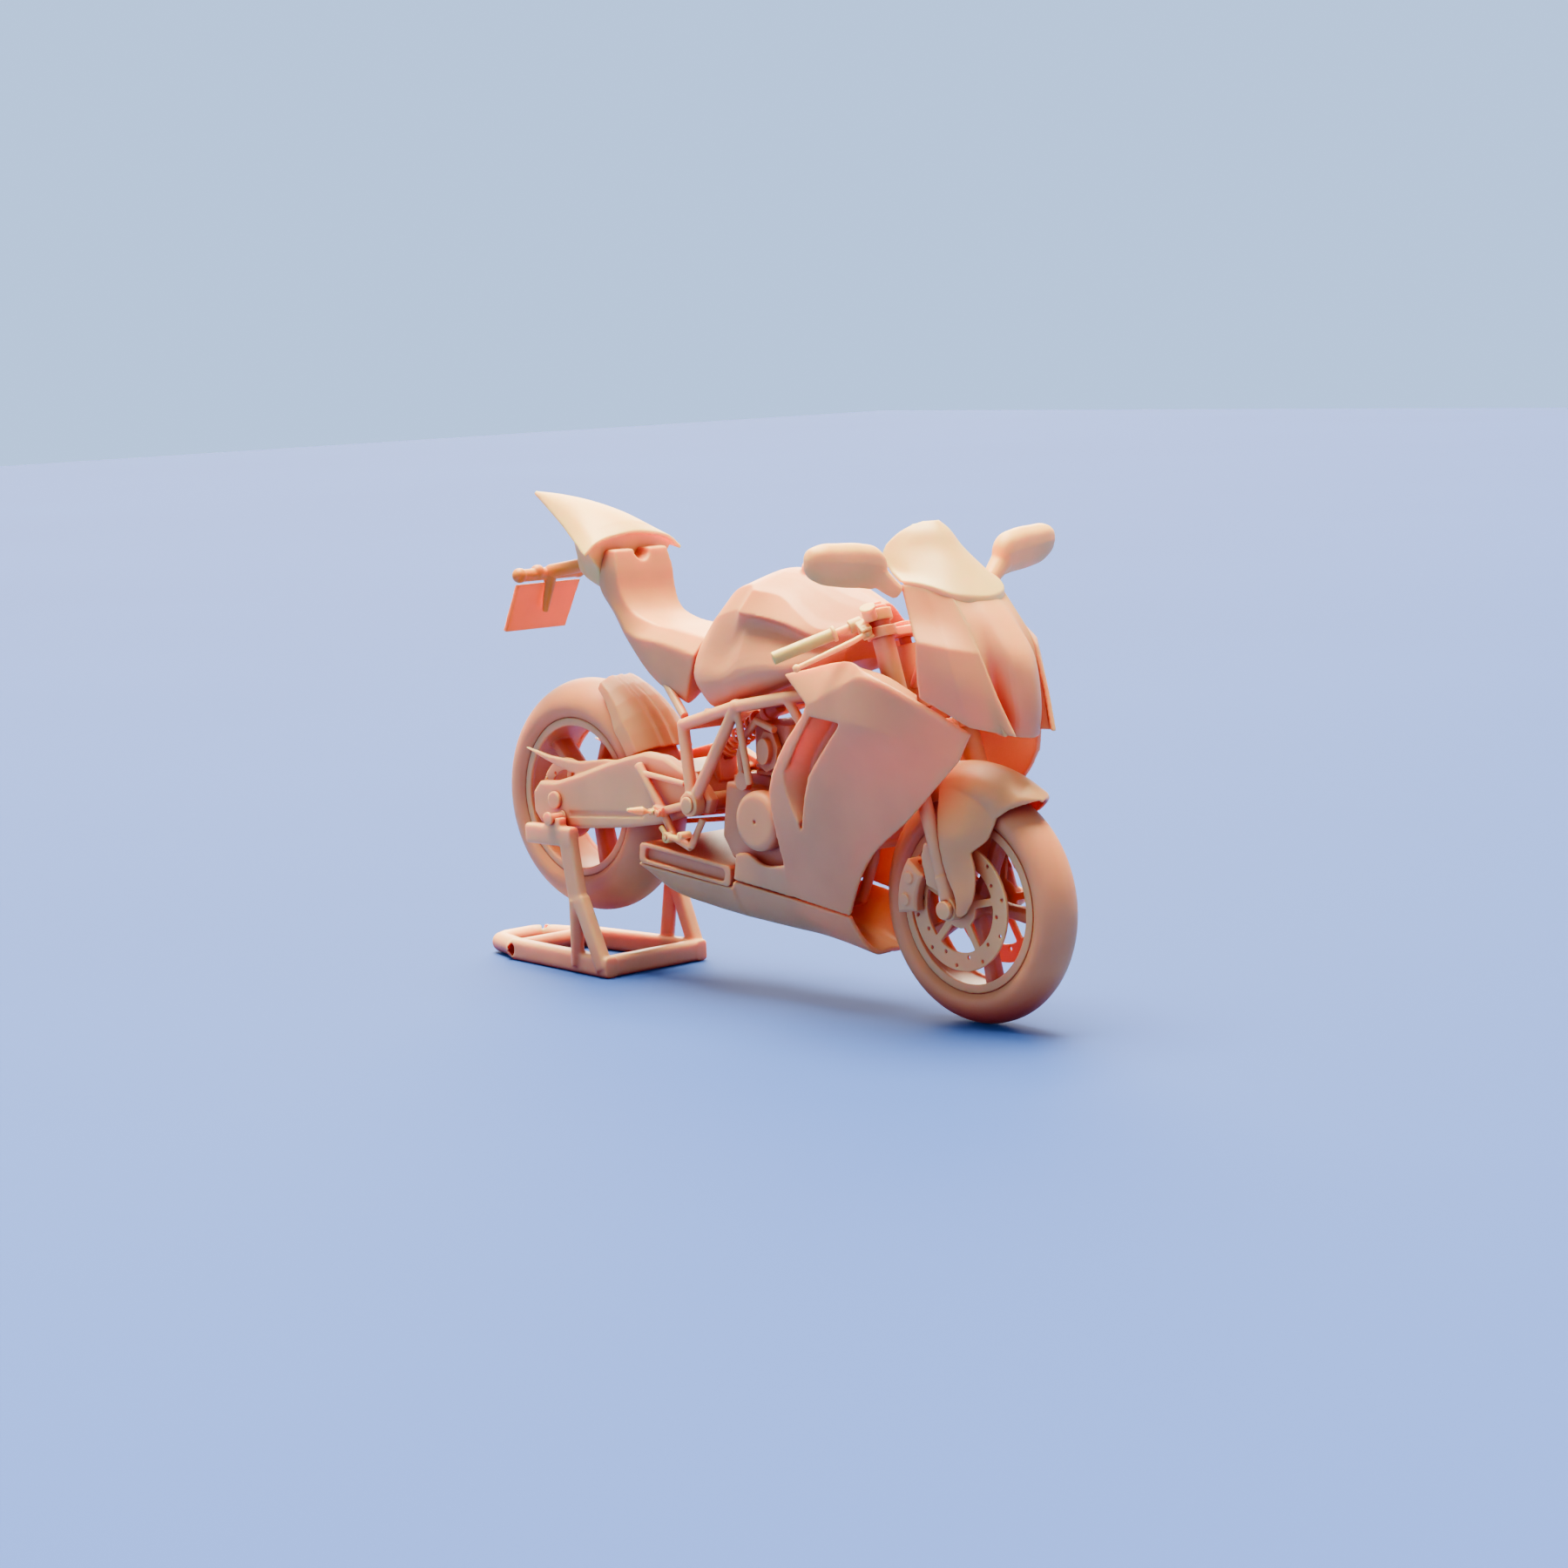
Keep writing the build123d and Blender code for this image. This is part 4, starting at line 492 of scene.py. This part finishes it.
side_rows = [
    [(77.0, 16.0, 67.6), (84.0, 15.8, 69.8), (94.8, 15.6, 73.0),
     (103.3, 17.9, 72.3), (116.9, 15.5, 67.8), (126.4, 10.3, 62.3)],
    [(86.4, 18.4, 62.7), (92.0, 18.7, 65.6), (98.0, 18.9, 69.0),
     (103.6, 19.0, 71.2), (116.8, 16.1, 66.9), (126.2, 10.9, 61.3)],
    [(84.8, 18.2, 60.0), (90.0, 18.6, 60.4), (95.4, 19.0, 61.0),
     (103.2, 19.2, 61.2), (114.2, 16.7, 59.6), (125.0, 12.2, 56.6)],
    [(79.0, 17.6, 52.6), (85.5, 18.2, 52.6), (92.0, 18.3, 52.5),
     (101.0, 17.6, 52.3), (111.0, 16.3, 52.0), (120.6, 13.9, 50.7)],
    [(74.6, 16.9, 43.0), (82.0, 17.2, 43.0), (89.5, 17.1, 43.0),
     (98.0, 16.3, 42.8), (106.0, 15.6, 42.6), (113.2, 14.2, 42.4)],
    [(75.8, 15.9, 34.0), (82.0, 15.9, 33.8), (88.0, 15.7, 33.6),
     (94.0, 15.2, 33.6), (99.0, 14.7, 33.6), (103.8, 13.8, 34.0)],
    [(77.2, 14.4, 26.4), (81.0, 14.3, 26.2), (85.0, 14.2, 26.0),
     (89.5, 13.9, 26.0), (94.0, 13.4, 26.2), (98.4, 12.7, 26.6)],
    [(77.5, 12.6, 19.5), (80.5, 12.4, 19.3), (84.0, 12.3, 19.1),
     (88.0, 12.1, 18.9), (91.5, 11.9, 18.7), (94.6, 11.4, 18.4)],
]
low_rows = [
    [(60.8, 13.0, 25.6), (64.5, 13.2, 26.4), (69.1, 13.5, 25.0), (78.0, 14.3, 26.3)],
    [(60.0, 12.7, 19.7), (64.5, 12.7, 19.6), (69.1, 12.7, 19.6), (78.0, 12.6, 19.4)],
]
VENT = [
    (87.4, 60.4), (97.2, 60.6), (90.8, 52.6), (87.3, 47.8), (85.7, 43.2),
    (84.0, 35.0), (83.2, 37.3), (80.2, 43.0), (79.4, 47.2),
]
vent_wall_rows = [
    [(85.8, 17.9, 61.6), (78.4, 17.0, 47.2), (79.4, 16.8, 42.8), (82.8, 16.2, 36.4)],
    [(88.8, 12.2, 60.3), (82.0, 11.8, 47.4), (82.4, 11.8, 43.6), (85.0, 11.8, 38.6)],
]
VENT_FLOOR = [(82.0, 36.4), (86.6, 37.0), (92.5, 48.0), (100.5, 61.8), (88.0, 62.4), (81.0, 48.0)]
ledge_rows = [
    [(80.0, 15.6, 68.3), (94.8, 15.3, 72.8), (103.3, 17.5, 72.0), (116.0, 15.3, 67.8)],
    [(82.0, 13.4, 67.6), (94.6, 13.2, 71.0), (104.0, 13.9, 71.6), (113.0, 12.4, 68.4)],
]


def side_fairing(side):
    """A side panel with its vent, the wall behind the vent, the low tongue and the ledge round its top."""
    flip = mirrored if side == "left" else (lambda mesh: mesh)
    skin = outward(raw_object("skin", flip(panel(right_side(side_rows), MIDDLE, SKIN, 6, (1, 2)))))
    minus(skin, flip(prism([(x, z) for x, z in VENT], -23.0, -13.0)))
    rest = [
        panel(right_side(low_rows), MIDDLE, SKIN, 6),
        panel(right_side(vent_wall_rows), MIDDLE, THIN_SKIN, 6),
        prism(VENT_FLOOR, -12.4, -11.4),
        panel(right_side(ledge_rows), MIDDLE, THIN_SKIN, 6),
    ]
    shapes = [outward(raw_object("shape", flip(mesh))) for mesh in rest]
    return resin(f"fairing_{side}", f"side_fairing_{side}", [skin] + shapes, 0.3, 7)


for side in ("left", "right"):
    side_fairing(side)

pan_rows = [
    [(28.5, 12.3, 17.2), (28.6, 10.5, 16.1), (29.0, 7.9, 14.8), (29.0, 0.0, 14.6)],
    [(34.0, 12.5, 17.3), (34.0, 10.6, 14.6), (34.0, 7.5, 12.3), (34.0, 0.0, 12.2)],
    [(48.0, 12.5, 17.4), (48.0, 10.9, 14.0), (48.0, 7.4, 10.9), (48.0, 0.0, 10.8)],
    [(59.6, 12.5, 17.6), (59.6, 10.7, 14.0), (59.6, 7.0, 10.6), (59.6, 0.0, 10.5)],
    [(60.1, 12.5, 19.2), (60.1, 10.8, 15.0), (60.1, 6.8, 10.6), (60.1, 0.0, 10.5)],
    [(72.0, 12.4, 19.0), (72.0, 10.8, 15.2), (72.0, 6.4, 10.8), (72.0, 0.0, 10.7)],
    [(81.7, 12.1, 18.7), (81.7, 10.3, 15.0), (81.7, 5.8, 10.9), (81.7, 0.0, 10.8)],
    [(90.0, 11.6, 18.2), (90.4, 9.4, 14.2), (90.8, 5.4, 10.3), (91.0, 0.0, 10.2)],
    [(94.3, 11.1, 17.9), (95.2, 8.6, 13.6), (96.2, 4.9, 9.6), (96.6, 0.0, 9.4)],
]
PAN_MIDDLE = (60.0, 0.0, 40.0)
pan = panel([both_sides(r) for r in pan_rows], PAN_MIDDLE, SKIN, 5, (3, 4))
resin("belly_pan_shell", "belly_pan", [pan], 0.3, 6)

headlight_rows = [
    [(106.7, 12.5, 90.4), (112.0, 10.5, 90.2), (117.0, 7.4, 88.7)],
    [(111.3, 14.2, 84.0), (116.6, 11.3, 84.0), (121.6, 7.8, 84.0)],
    [(115.2, 16.1, 79.9), (121.5, 13.2, 79.2), (126.2, 8.4, 78.5)],
    [(115.8, 16.2, 74.0), (124.2, 13.0, 72.3), (130.6, 7.5, 70.3)],
    [(116.7, 15.9, 68.6), (126.7, 11.3, 63.6), (134.7, 6.0, 62.5)],
]
lamp = panel(right_side(headlight_rows), FRONT_MIDDLE, SKIN, 6, (2,), (1,))
resin("headlight_panel_pair", "headlight_panels", [lamp, mirrored(lamp)], 0.28, 6)
nose_rows = [
    [(117.2, 7.6, 88.2), (118.0, 4.8, 88.3), (119.0, 2.4, 88.4), (119.3, 0.0, 88.4)],
    [(121.4, 8.0, 83.9), (122.6, 5.2, 84.0), (124.3, 2.8, 84.0), (124.8, 0.0, 84.0)],
    [(125.6, 8.5, 78.4), (125.8, 5.7, 78.4), (129.6, 3.4, 78.3), (130.8, 0.0, 78.2)],
    [(129.4, 7.8, 70.6), (127.2, 5.2, 71.0), (131.9, 3.5, 71.4), (133.6, 0.0, 71.5)],
    [(131.9, 7.2, 65.6), (128.2, 4.7, 66.0), (132.9, 3.2, 66.0), (134.4, 0.0, 66.0)],
    [(133.4, 6.6, 62.7), (129.4, 4.4, 62.2), (132.8, 3.0, 61.8), (134.0, 0.0, 61.6)],
]
nose = panel([both_sides(r) for r in nose_rows], FRONT_MIDDLE, SKIN, 5)
resin("nose_shell", "nose_panel", [nose], 0.24, 3)
screen_rows = [
    [(100.8, 3.6, 101.3), (102.1, 2.5, 101.9), (103.3, 1.2, 102.2), (103.8, 0.0, 102.3)],
    [(99.2, 6.2, 99.5), (102.8, 4.6, 100.2), (105.2, 2.4, 100.6), (106.1, 0.0, 100.7)],
    [(98.0, 9.2, 95.8), (103.4, 7.5, 96.5), (107.8, 4.1, 97.1), (109.4, 0.0, 97.3)],
    [(101.2, 10.6, 92.9), (107.4, 9.3, 93.0), (112.0, 5.6, 93.5), (113.8, 0.0, 93.6)],
    [(106.8, 12.4, 91.0), (112.4, 10.4, 90.7), (117.2, 7.2, 89.3), (119.8, 0.0, 88.8)],
    [(108.2, 11.8, 88.9), (113.4, 9.7, 88.7), (118.0, 6.6, 87.2), (120.4, 0.0, 86.8)],
]
SCREEN_MIDDLE = (96.0, 0.0, 86.0)
screen = panel([both_sides(r) for r in screen_rows], SCREEN_MIDDLE, THIN_SKIN, 6, (4,))
resin("screen_shell", "windscreen", [screen], 0.26, 5)


MIRROR_SECTION = [
    (2.9, 0.8), (2.1, 3.5), (0.0, 4.6), (-2.0, 3.5), (-2.5, 0.0), (-1.8, -3.4), (0.0, -4.5), (1.7, -3.0)
]


def mirror_ring(y, x, z, share_x, share_z):
    """A section of the right mirror at distance y from the middle."""
    return [(x + share_x * dx, -y, z + share_z * dz) for dx, dz in MIRROR_SECTION]


mirror_head = loft(
    [
        mirror_ring(16.4, 105.8, 93.2, 0.25, 0.25),
        mirror_ring(16.9, 105.7, 93.4, 0.62, 0.62),
        mirror_ring(18.6, 105.4, 93.8, 0.93, 0.93),
        mirror_ring(22.0, 105.0, 94.4, 1.0, 1.0),
        mirror_ring(28.0, 104.4, 94.9, 1.0, 0.98),
        mirror_ring(33.0, 103.8, 95.4, 0.88, 0.84),
        mirror_ring(35.2, 103.4, 95.6, 0.6, 0.58),
        mirror_ring(35.9, 103.3, 95.6, 0.25, 0.25),
    ],
    5,
    (),
    (0,),
)
mirror_stalk = bar([(106.8, -13.2, 88.7), (106.2, -15.6, 90.4), (105.6, -18.4, 92.6)], 1.6, 2.4)
mirror_shapes = [mirror_head, mirror_stalk, mirrored(mirror_head), mirrored(mirror_stalk)]
# The mirrors take the paler resin, painted light for their lit tops.
resin("mirror_pair", "mirrors", mirror_shapes, 0.26, 6, material="pale_resin")

tank_rings = [
    [(45.0, 0, 60.5), (45.0, 9.5, 58.0), (43.8, 10.8, 60.5), (43.2, 9.6, 67.0),
     (43.6, 7.6, 71.0), (44.6, 4.5, 73.4), (44.8, 0, 73.8)],
    [(49.0, 0, 60.6), (49.5, 10.8, 56.0), (48.0, 12.6, 60.0), (47.6, 11.0, 69.0),
     (48.6, 9.6, 75.0), (50.4, 6.6, 80.2), (51.0, 0, 81.4)],
    [(56.0, 0, 62.0), (56.0, 11.3, 57.5), (56.0, 13.4, 62.0), (55.6, 11.6, 70.5),
     (56.6, 10.8, 78.0), (58.0, 8.2, 83.4), (59.6, 0, 86.4)],
    [(60.0, 0, 62.6), (60.0, 11.4, 59.4), (60.0, 13.8, 64.0), (59.6, 11.0, 76.0),
     (58.9, 12.7, 77.9), (60.6, 10.2, 82.8), (63.0, 0, 87.2)],
    [(67.0, 0, 63.8), (67.0, 11.8, 62.4), (67.0, 14.3, 66.4), (67.4, 10.7, 76.2),
     (67.6, 13.0, 78.0), (68.4, 9.6, 82.4), (69.6, 0, 87.6)],
    [(75.0, 0, 66.0), (75.0, 12.4, 65.7), (75.0, 14.3, 68.0), (75.0, 10.6, 75.2),
     (75.0, 12.8, 77.4), (75.6, 10.8, 79.6), (76.4, 0, 87.0)],
    [(81.0, 0, 68.2), (81.0, 11.0, 68.0), (81.6, 12.4, 70.4), (82.0, 10.2, 74.2),
     (82.0, 11.9, 76.0), (82.0, 11.2, 77.4), (82.6, 0, 85.8)],
    [(86.0, 0, 70.8), (86.5, 7.3, 71.2), (87.5, 8.2, 73.0), (88.6, 7.4, 75.0),
     (89.4, 7.4, 76.8), (90.2, 6.2, 79.0), (91.0, 0, 83.2)],
]
filler = bar([(68.6, 0, 84.0), (69.0, 0, 86.6), (69.3, 0, 88.2)], 3.2)
tank = loft([whole(r) for r in tank_rings], 6, (3,), (4, 5, 7, 8))
resin("tank_shell", "fuel_tank", [tank, filler], 0.28, 3)

seat_rings = [
    [(8.6, 0.0, 84.6), (8.6, 7.0, 84.6), (10.6, 8.0, 84.9), (12.6, 7.6, 85.0), (12.6, 0.0, 85.0)],
    [(6.9, 0.0, 79.6), (6.9, 7.4, 79.6), (10.4, 8.6, 80.0), (14.2, 8.3, 80.4), (14.2, 0.0, 80.4)],
    [(6.9, 0.0, 76.0), (6.9, 7.0, 76.0), (10.5, 8.7, 76.0), (15.2, 8.3, 76.4), (15.2, 0.0, 76.4)],
    [(11.5, 0.0, 70.9), (11.5, 6.6, 70.9), (15.0, 9.0, 71.0), (18.6, 7.4, 72.2), (18.6, 0.0, 72.2)],
    [(17.5, 0.0, 66.0), (17.5, 7.6, 65.6), (18.9, 9.4, 67.6), (24.0, 7.0, 70.6), (24.0, 0.0, 70.6)],
    [(27.0, 0.0, 61.6), (27.0, 8.4, 58.6), (31.0, 10.0, 67.0), (33.0, 7.0, 70.2), (33.0, 0.0, 70.2)],
    [(39.0, 0.0, 59.0), (39.0, 8.8, 54.8), (42.6, 10.3, 66.0), (43.0, 7.0, 69.7), (43.0, 0.0, 69.7)],
]
NOTCH_R, NOTCH_Z = 2.3, 84.7
notch = bar([(x, 0.0, NOTCH_Z) for x in (5.0, 12.0, 20.0)], NOTCH_R)
seat = loft([whole(r) for r in seat_rings], 5, (), (2, 3, 5, 6))
resin("seat_shell", "rider_seat", [seat], 0.34, 6, cuts=[notch])

cowl_rings = [
    [(-24.8, 0.0, 92.6), (-24.6, 0.6, 92.9), (-24.8, 0.5, 93.4), (-24.9, 0.0, 93.5)],
    [(-16.0, 0.0, 88.4), (-16.0, 3.9, 90.8), (-16.0, 2.8, 92.6), (-16.0, 0.0, 93.8)],
    [(-7.0, 0.0, 83.0), (-7.0, 7.4, 88.6), (-7.0, 5.2, 91.6), (-7.0, 0.0, 93.4)],
    [(1.0, 0.0, 79.4), (1.0, 10.8, 86.4), (1.0, 8.0, 89.8), (1.0, 0.0, 92.1)],
    [(6.5, 0.0, 80.0), (6.5, 13.2, 84.9), (6.5, 9.5, 88.1), (6.5, 0.0, 90.4)],
]
lip_rows = [
    [(6.0, 13.0, 85.0), (6.0, 9.4, 88.2), (6.0, 5.0, 89.8), (6.0, 0.0, 90.6)],
    [(9.9, 14.6, 84.1), (10.0, 11.3, 86.6), (10.2, 6.0, 88.0), (10.3, 0.0, 88.6)],
]
neck_rings = [
    [(-6.0, 0.0, 77.4), (-6.0, 2.0, 77.6), (-6.0, 3.0, 81.0), (-6.0, 3.0, 84.0), (-6.0, 0.0, 85.0)],
    [(1.0, 0.0, 76.0), (1.0, 5.4, 76.8), (1.0, 7.8, 81.0), (1.0, 9.6, 85.6), (1.0, 0.0, 87.0)],
    [(8.2, 0.0, 75.2), (8.2, 7.0, 75.6), (8.2, 8.6, 80.0), (8.6, 12.4, 84.6), (8.4, 0.0, 88.0)],
]
# The tail cowl takes the paler resin, painted light for its lit top.
resin(
    "tail_shell",
    "tail_cowl",
    [
        loft([whole(r) for r in cowl_rings], 6, (), (1, 5)),
        loft([whole(r) for r in neck_rings], 5),
        panel([both_sides(r) for r in lip_rows], (0.0, 0.0, 78.0), THIN_SKIN, 5),
    ],
    0.32,
    5,
    material="pale_resin",
)

FENDER_HALF = [(6.4, 22.2), (6.4, 24.6), (5.3, 27.0), (2.8, 28.8), (0.0, 29.6)]
FENDER_TIP_R, FENDER_TIP_ANGLE, FENDER_TAPER_ANGLE = 29.2, 57.0, 66.0
FENDER_ANGLES = (57.0, 59.3, 62.4, 66.0, 72.0, 80.0, 88.0, 98.0, 108.0, 118.0, 126.0)
fender_rows = []
for angle in FENDER_ANGLES:
    share = max(0.0, (FENDER_TAPER_ANGLE - angle) / (FENDER_TAPER_ANGLE - FENDER_TIP_ANGLE))
    half = [(y * (1 - 0.9 * share**2), r + (FENDER_TIP_R - r) * share * 0.98) for y, r in FENDER_HALF]
    fender_rows.append(both_sides([around(FRONT_AXLE, r, angle, y) for y, r in half]))
guard_rows = [
    [(114.4, 6.3, 49.0), (118.5, 6.4, 49.3), (125.0, 6.4, 48.0), (130.4, 6.2, 45.4)],
    [(115.5, 8.1, 44.1), (119.6, 8.2, 44.0), (124.8, 8.0, 43.4), (129.8, 6.8, 42.6)],
    [(117.0, 9.3, 40.1), (120.4, 9.5, 40.0), (124.0, 9.1, 40.2), (128.9, 7.3, 40.2)],
    [(118.1, 9.7, 37.2), (120.8, 9.9, 37.2), (123.4, 9.6, 37.4), (126.2, 8.8, 37.6)],
    [(119.2, 9.9, 34.8), (121.5, 10.1, 34.7), (124.4, 9.8, 34.8), (127.6, 9.1, 34.9)],
    [(121.3, 10.2, 31.3), (123.1, 10.4, 31.2), (125.4, 10.1, 31.3), (128.3, 9.4, 31.4)],
    [(124.2, 10.8, 28.0), (125.0, 10.8, 27.9), (126.6, 10.3, 27.8), (128.1, 9.6, 28.0)],
    [(124.6, 10.8, 24.8), (125.1, 10.8, 24.2), (126.0, 10.4, 24.3), (126.9, 9.9, 25.0)],
]
guard = panel(right_side(guard_rows), FRONT_AXLE, THIN_SKIN, 5, (3,))
fender = panel(fender_rows, FRONT_AXLE, THIN_SKIN, 4)
resin("fender_shell", "front_fender", [fender, guard, mirrored(guard)], 0.26, 5)

# ---------------------------------------------------------------- every other CAD piece, with soft edges
# Node: mesh size in millimetres, and how much its edges are eased.
FINE, MEDIUM, COARSE = 0.14, 0.2, 0.3
SOFT_NODES = {
    "front_tyre": (COARSE, 4), "rear_tyre": (COARSE, 4), "front_rim": (0.22, 6), "rear_rim": (0.24, 6),
    "front_discs": (0.16, 5), "rear_disc": (0.16, 5), "rear_sprocket": (0.13, 3),
    "front_sprocket": (0.13, 3), "chain": (0.16, 3), "swingarm": (0.26, 6), "rear_axle": (MEDIUM, 5),
    "swingarm_pins": (FINE, 5), "hugger": (0.22, 6), "shock_body": (FINE, 4), "shock_rod": (FINE, 4),
    "shock_spring": (0.1, 3), "main_frame": (0.2, 8), "pivot_axle": (MEDIUM, 5),
    "subframe": (MEDIUM, 6), "engine_block": (COARSE, 6), "clutch_cover": (MEDIUM, 6),
    "left_engine_covers": (MEDIUM, 6), "cylinders": (0.2, 3), "cam_covers": (FINE, 6),
    "water_pump": (FINE, 6), "radiator": (0.24, 4), "exhaust_silencer": (0.26, 6),
    "exhaust_pipes": (MEDIUM, 6), "fairing_stay": (MEDIUM, 5), "plate_bracket": (0.18, 8),
    "number_plate": (0.2, 6), "fork_legs": (MEDIUM, 6), "front_axle": (FINE, 5),
    "front_calipers": (0.18, 6), "fork_tubes": (0.18, 4), "upper_yoke": (FINE, 5),
    "lower_yoke": (FINE, 5), "clip_ons": (FINE, 6), "left_grip": (FINE, 6), "throttle_grip": (FINE, 6),
    "lever_perches": (0.12, 6), "clutch_lever": (0.1, 6), "brake_lever": (0.1, 6),
    "rearset_brackets": (FINE, 8), "footpeg_left": (0.1, 5), "footpeg_right": (0.1, 5),
    "gear_lever": (0.12, 6), "brake_pedal": (0.12, 6), "paddock_stand": (0.28, 7),
}
# The number plate and its bracket take a painted glow tone.
PAINTED_GLOW_TONE = {"number_plate": "plate_resin", "plate_bracket": "plate_resin"}
for node, (grain, rounds) in SOFT_NODES.items():
    soft = softened(joined(node, [frame["nodes"][node]]), grain, rounds)
    piece(f"{node}_piece", node, soft, PAINTED_GLOW_TONE.get(node))

# ---------------------------------------------------------------- floor, light and camera
FLOOR_HALF = 3.0
FLOOR_DROP = 0.1 * MM
corners = [(x * FLOOR_HALF, y * FLOOR_HALF, 0.0) for x, y in ((-1, -1), (1, -1), (1, 1), (-1, 1))]
floor = raw_object("studio_floor", (corners, [(0, 1, 2, 3)]), Matrix.Identity(4))
floor.location.z = -FLOOR_DROP
paper = bpy.data.materials.new("studio_paper")
paper.use_nodes = True
paper_shader = paper.node_tree.nodes["Principled BSDF"]
paper_shader.inputs["Roughness"].default_value = 0.9
PAPER_TONES = (0.010, 0.056, 0.290), (0.012, 0.062, 0.310)
paper_share = mapped(paper.node_tree, noise(paper.node_tree, 2.0), 0.3, 0.7)
paper_tone = mixed(paper.node_tree, paper_share, *PAPER_TONES)
paper.node_tree.links.new(paper_tone, paper_shader.inputs["Base Color"])
floor.data.materials.append(paper)

world = bpy.data.worlds.new("studio_air")
world.use_nodes = True
air = world.node_tree
sky_place = air.nodes.new("ShaderNodeTexCoord")
sky_split = air.nodes.new("ShaderNodeSeparateXYZ")
air.links.new(sky_place.outputs["Generated"], sky_split.inputs[0])
height = mapped(air, sky_split.outputs["Z"], 0.12, 0.6)
LOW_AIR, HIGH_AIR = (0.66, 1.02, 1.70), (0.26, 0.30, 0.38)
air.links.new(mixed(air, height, LOW_AIR, HIGH_AIR), air.nodes["Background"].inputs["Color"])
bpy.context.scene.world = world

CENTRE = Vector((0.0, 0.0, 0.05))  # about the middle of the machine


def softbox(name, at, size, watts, colour):
    lamp_data = bpy.data.lights.new(name, "AREA")
    lamp_data.shape = "SQUARE"
    lamp_data.size = size
    lamp_data.energy = watts
    lamp_data.color = colour
    lamp_object = bpy.data.objects.new(name, lamp_data)
    lamp_object.location = at
    lamp_object.rotation_euler = (CENTRE - Vector(at)).to_track_quat("-Z", "Y").to_euler()
    bpy.context.scene.collection.objects.link(lamp_object)


def soft_sun(name, direction, spread, strength, colour):
    """Even light from one direction, soft because it comes from a wide part of the sky."""
    sun_data = bpy.data.lights.new(name, "SUN")
    sun_data.angle = spread
    sun_data.energy = strength
    sun_data.color = colour
    sun_object = bpy.data.objects.new(name, sun_data)
    sun_object.rotation_euler = Vector(direction).to_track_quat("Z", "Y").to_euler()
    bpy.context.scene.collection.objects.link(sun_object)


soft_sun("top_light", (-0.22, 0.10, 0.96), 0.75, 27.0, (1.0, 0.89, 0.62))
soft_sun("back_light", (-0.70, 0.60, 0.42), 0.6, 5.0, (1.0, 0.84, 0.60))
softbox("fill_light", (0.45, -0.75, 0.35), 0.6, 0.7, (1.0, 0.88, 0.84))

CAMERA_AZIMUTH, CAMERA_HEIGHT, CAMERA_ROLL = radians(47.1), radians(7.41), radians(-2.0)
CAMERA_AT = Vector((0.58717, -0.54011, 0.14874))
camera_data = bpy.data.cameras.new("camera")
camera_data.sensor_width = 36.0
camera_data.lens = 84.84
camera_data.clip_start = 0.01
camera_object = bpy.data.objects.new("camera", camera_data)
camera_object.matrix_world = (
    Matrix.Translation(CAMERA_AT)
    @ Matrix.Rotation(CAMERA_AZIMUTH, 4, "Z")
    @ Matrix.Rotation(pi / 2 - CAMERA_HEIGHT, 4, "X")
    @ Matrix.Rotation(CAMERA_ROLL, 4, "Z")
)
bpy.context.scene.collection.objects.link(camera_object)
bpy.context.scene.camera = camera_object

bpy.context.view_layer.update()
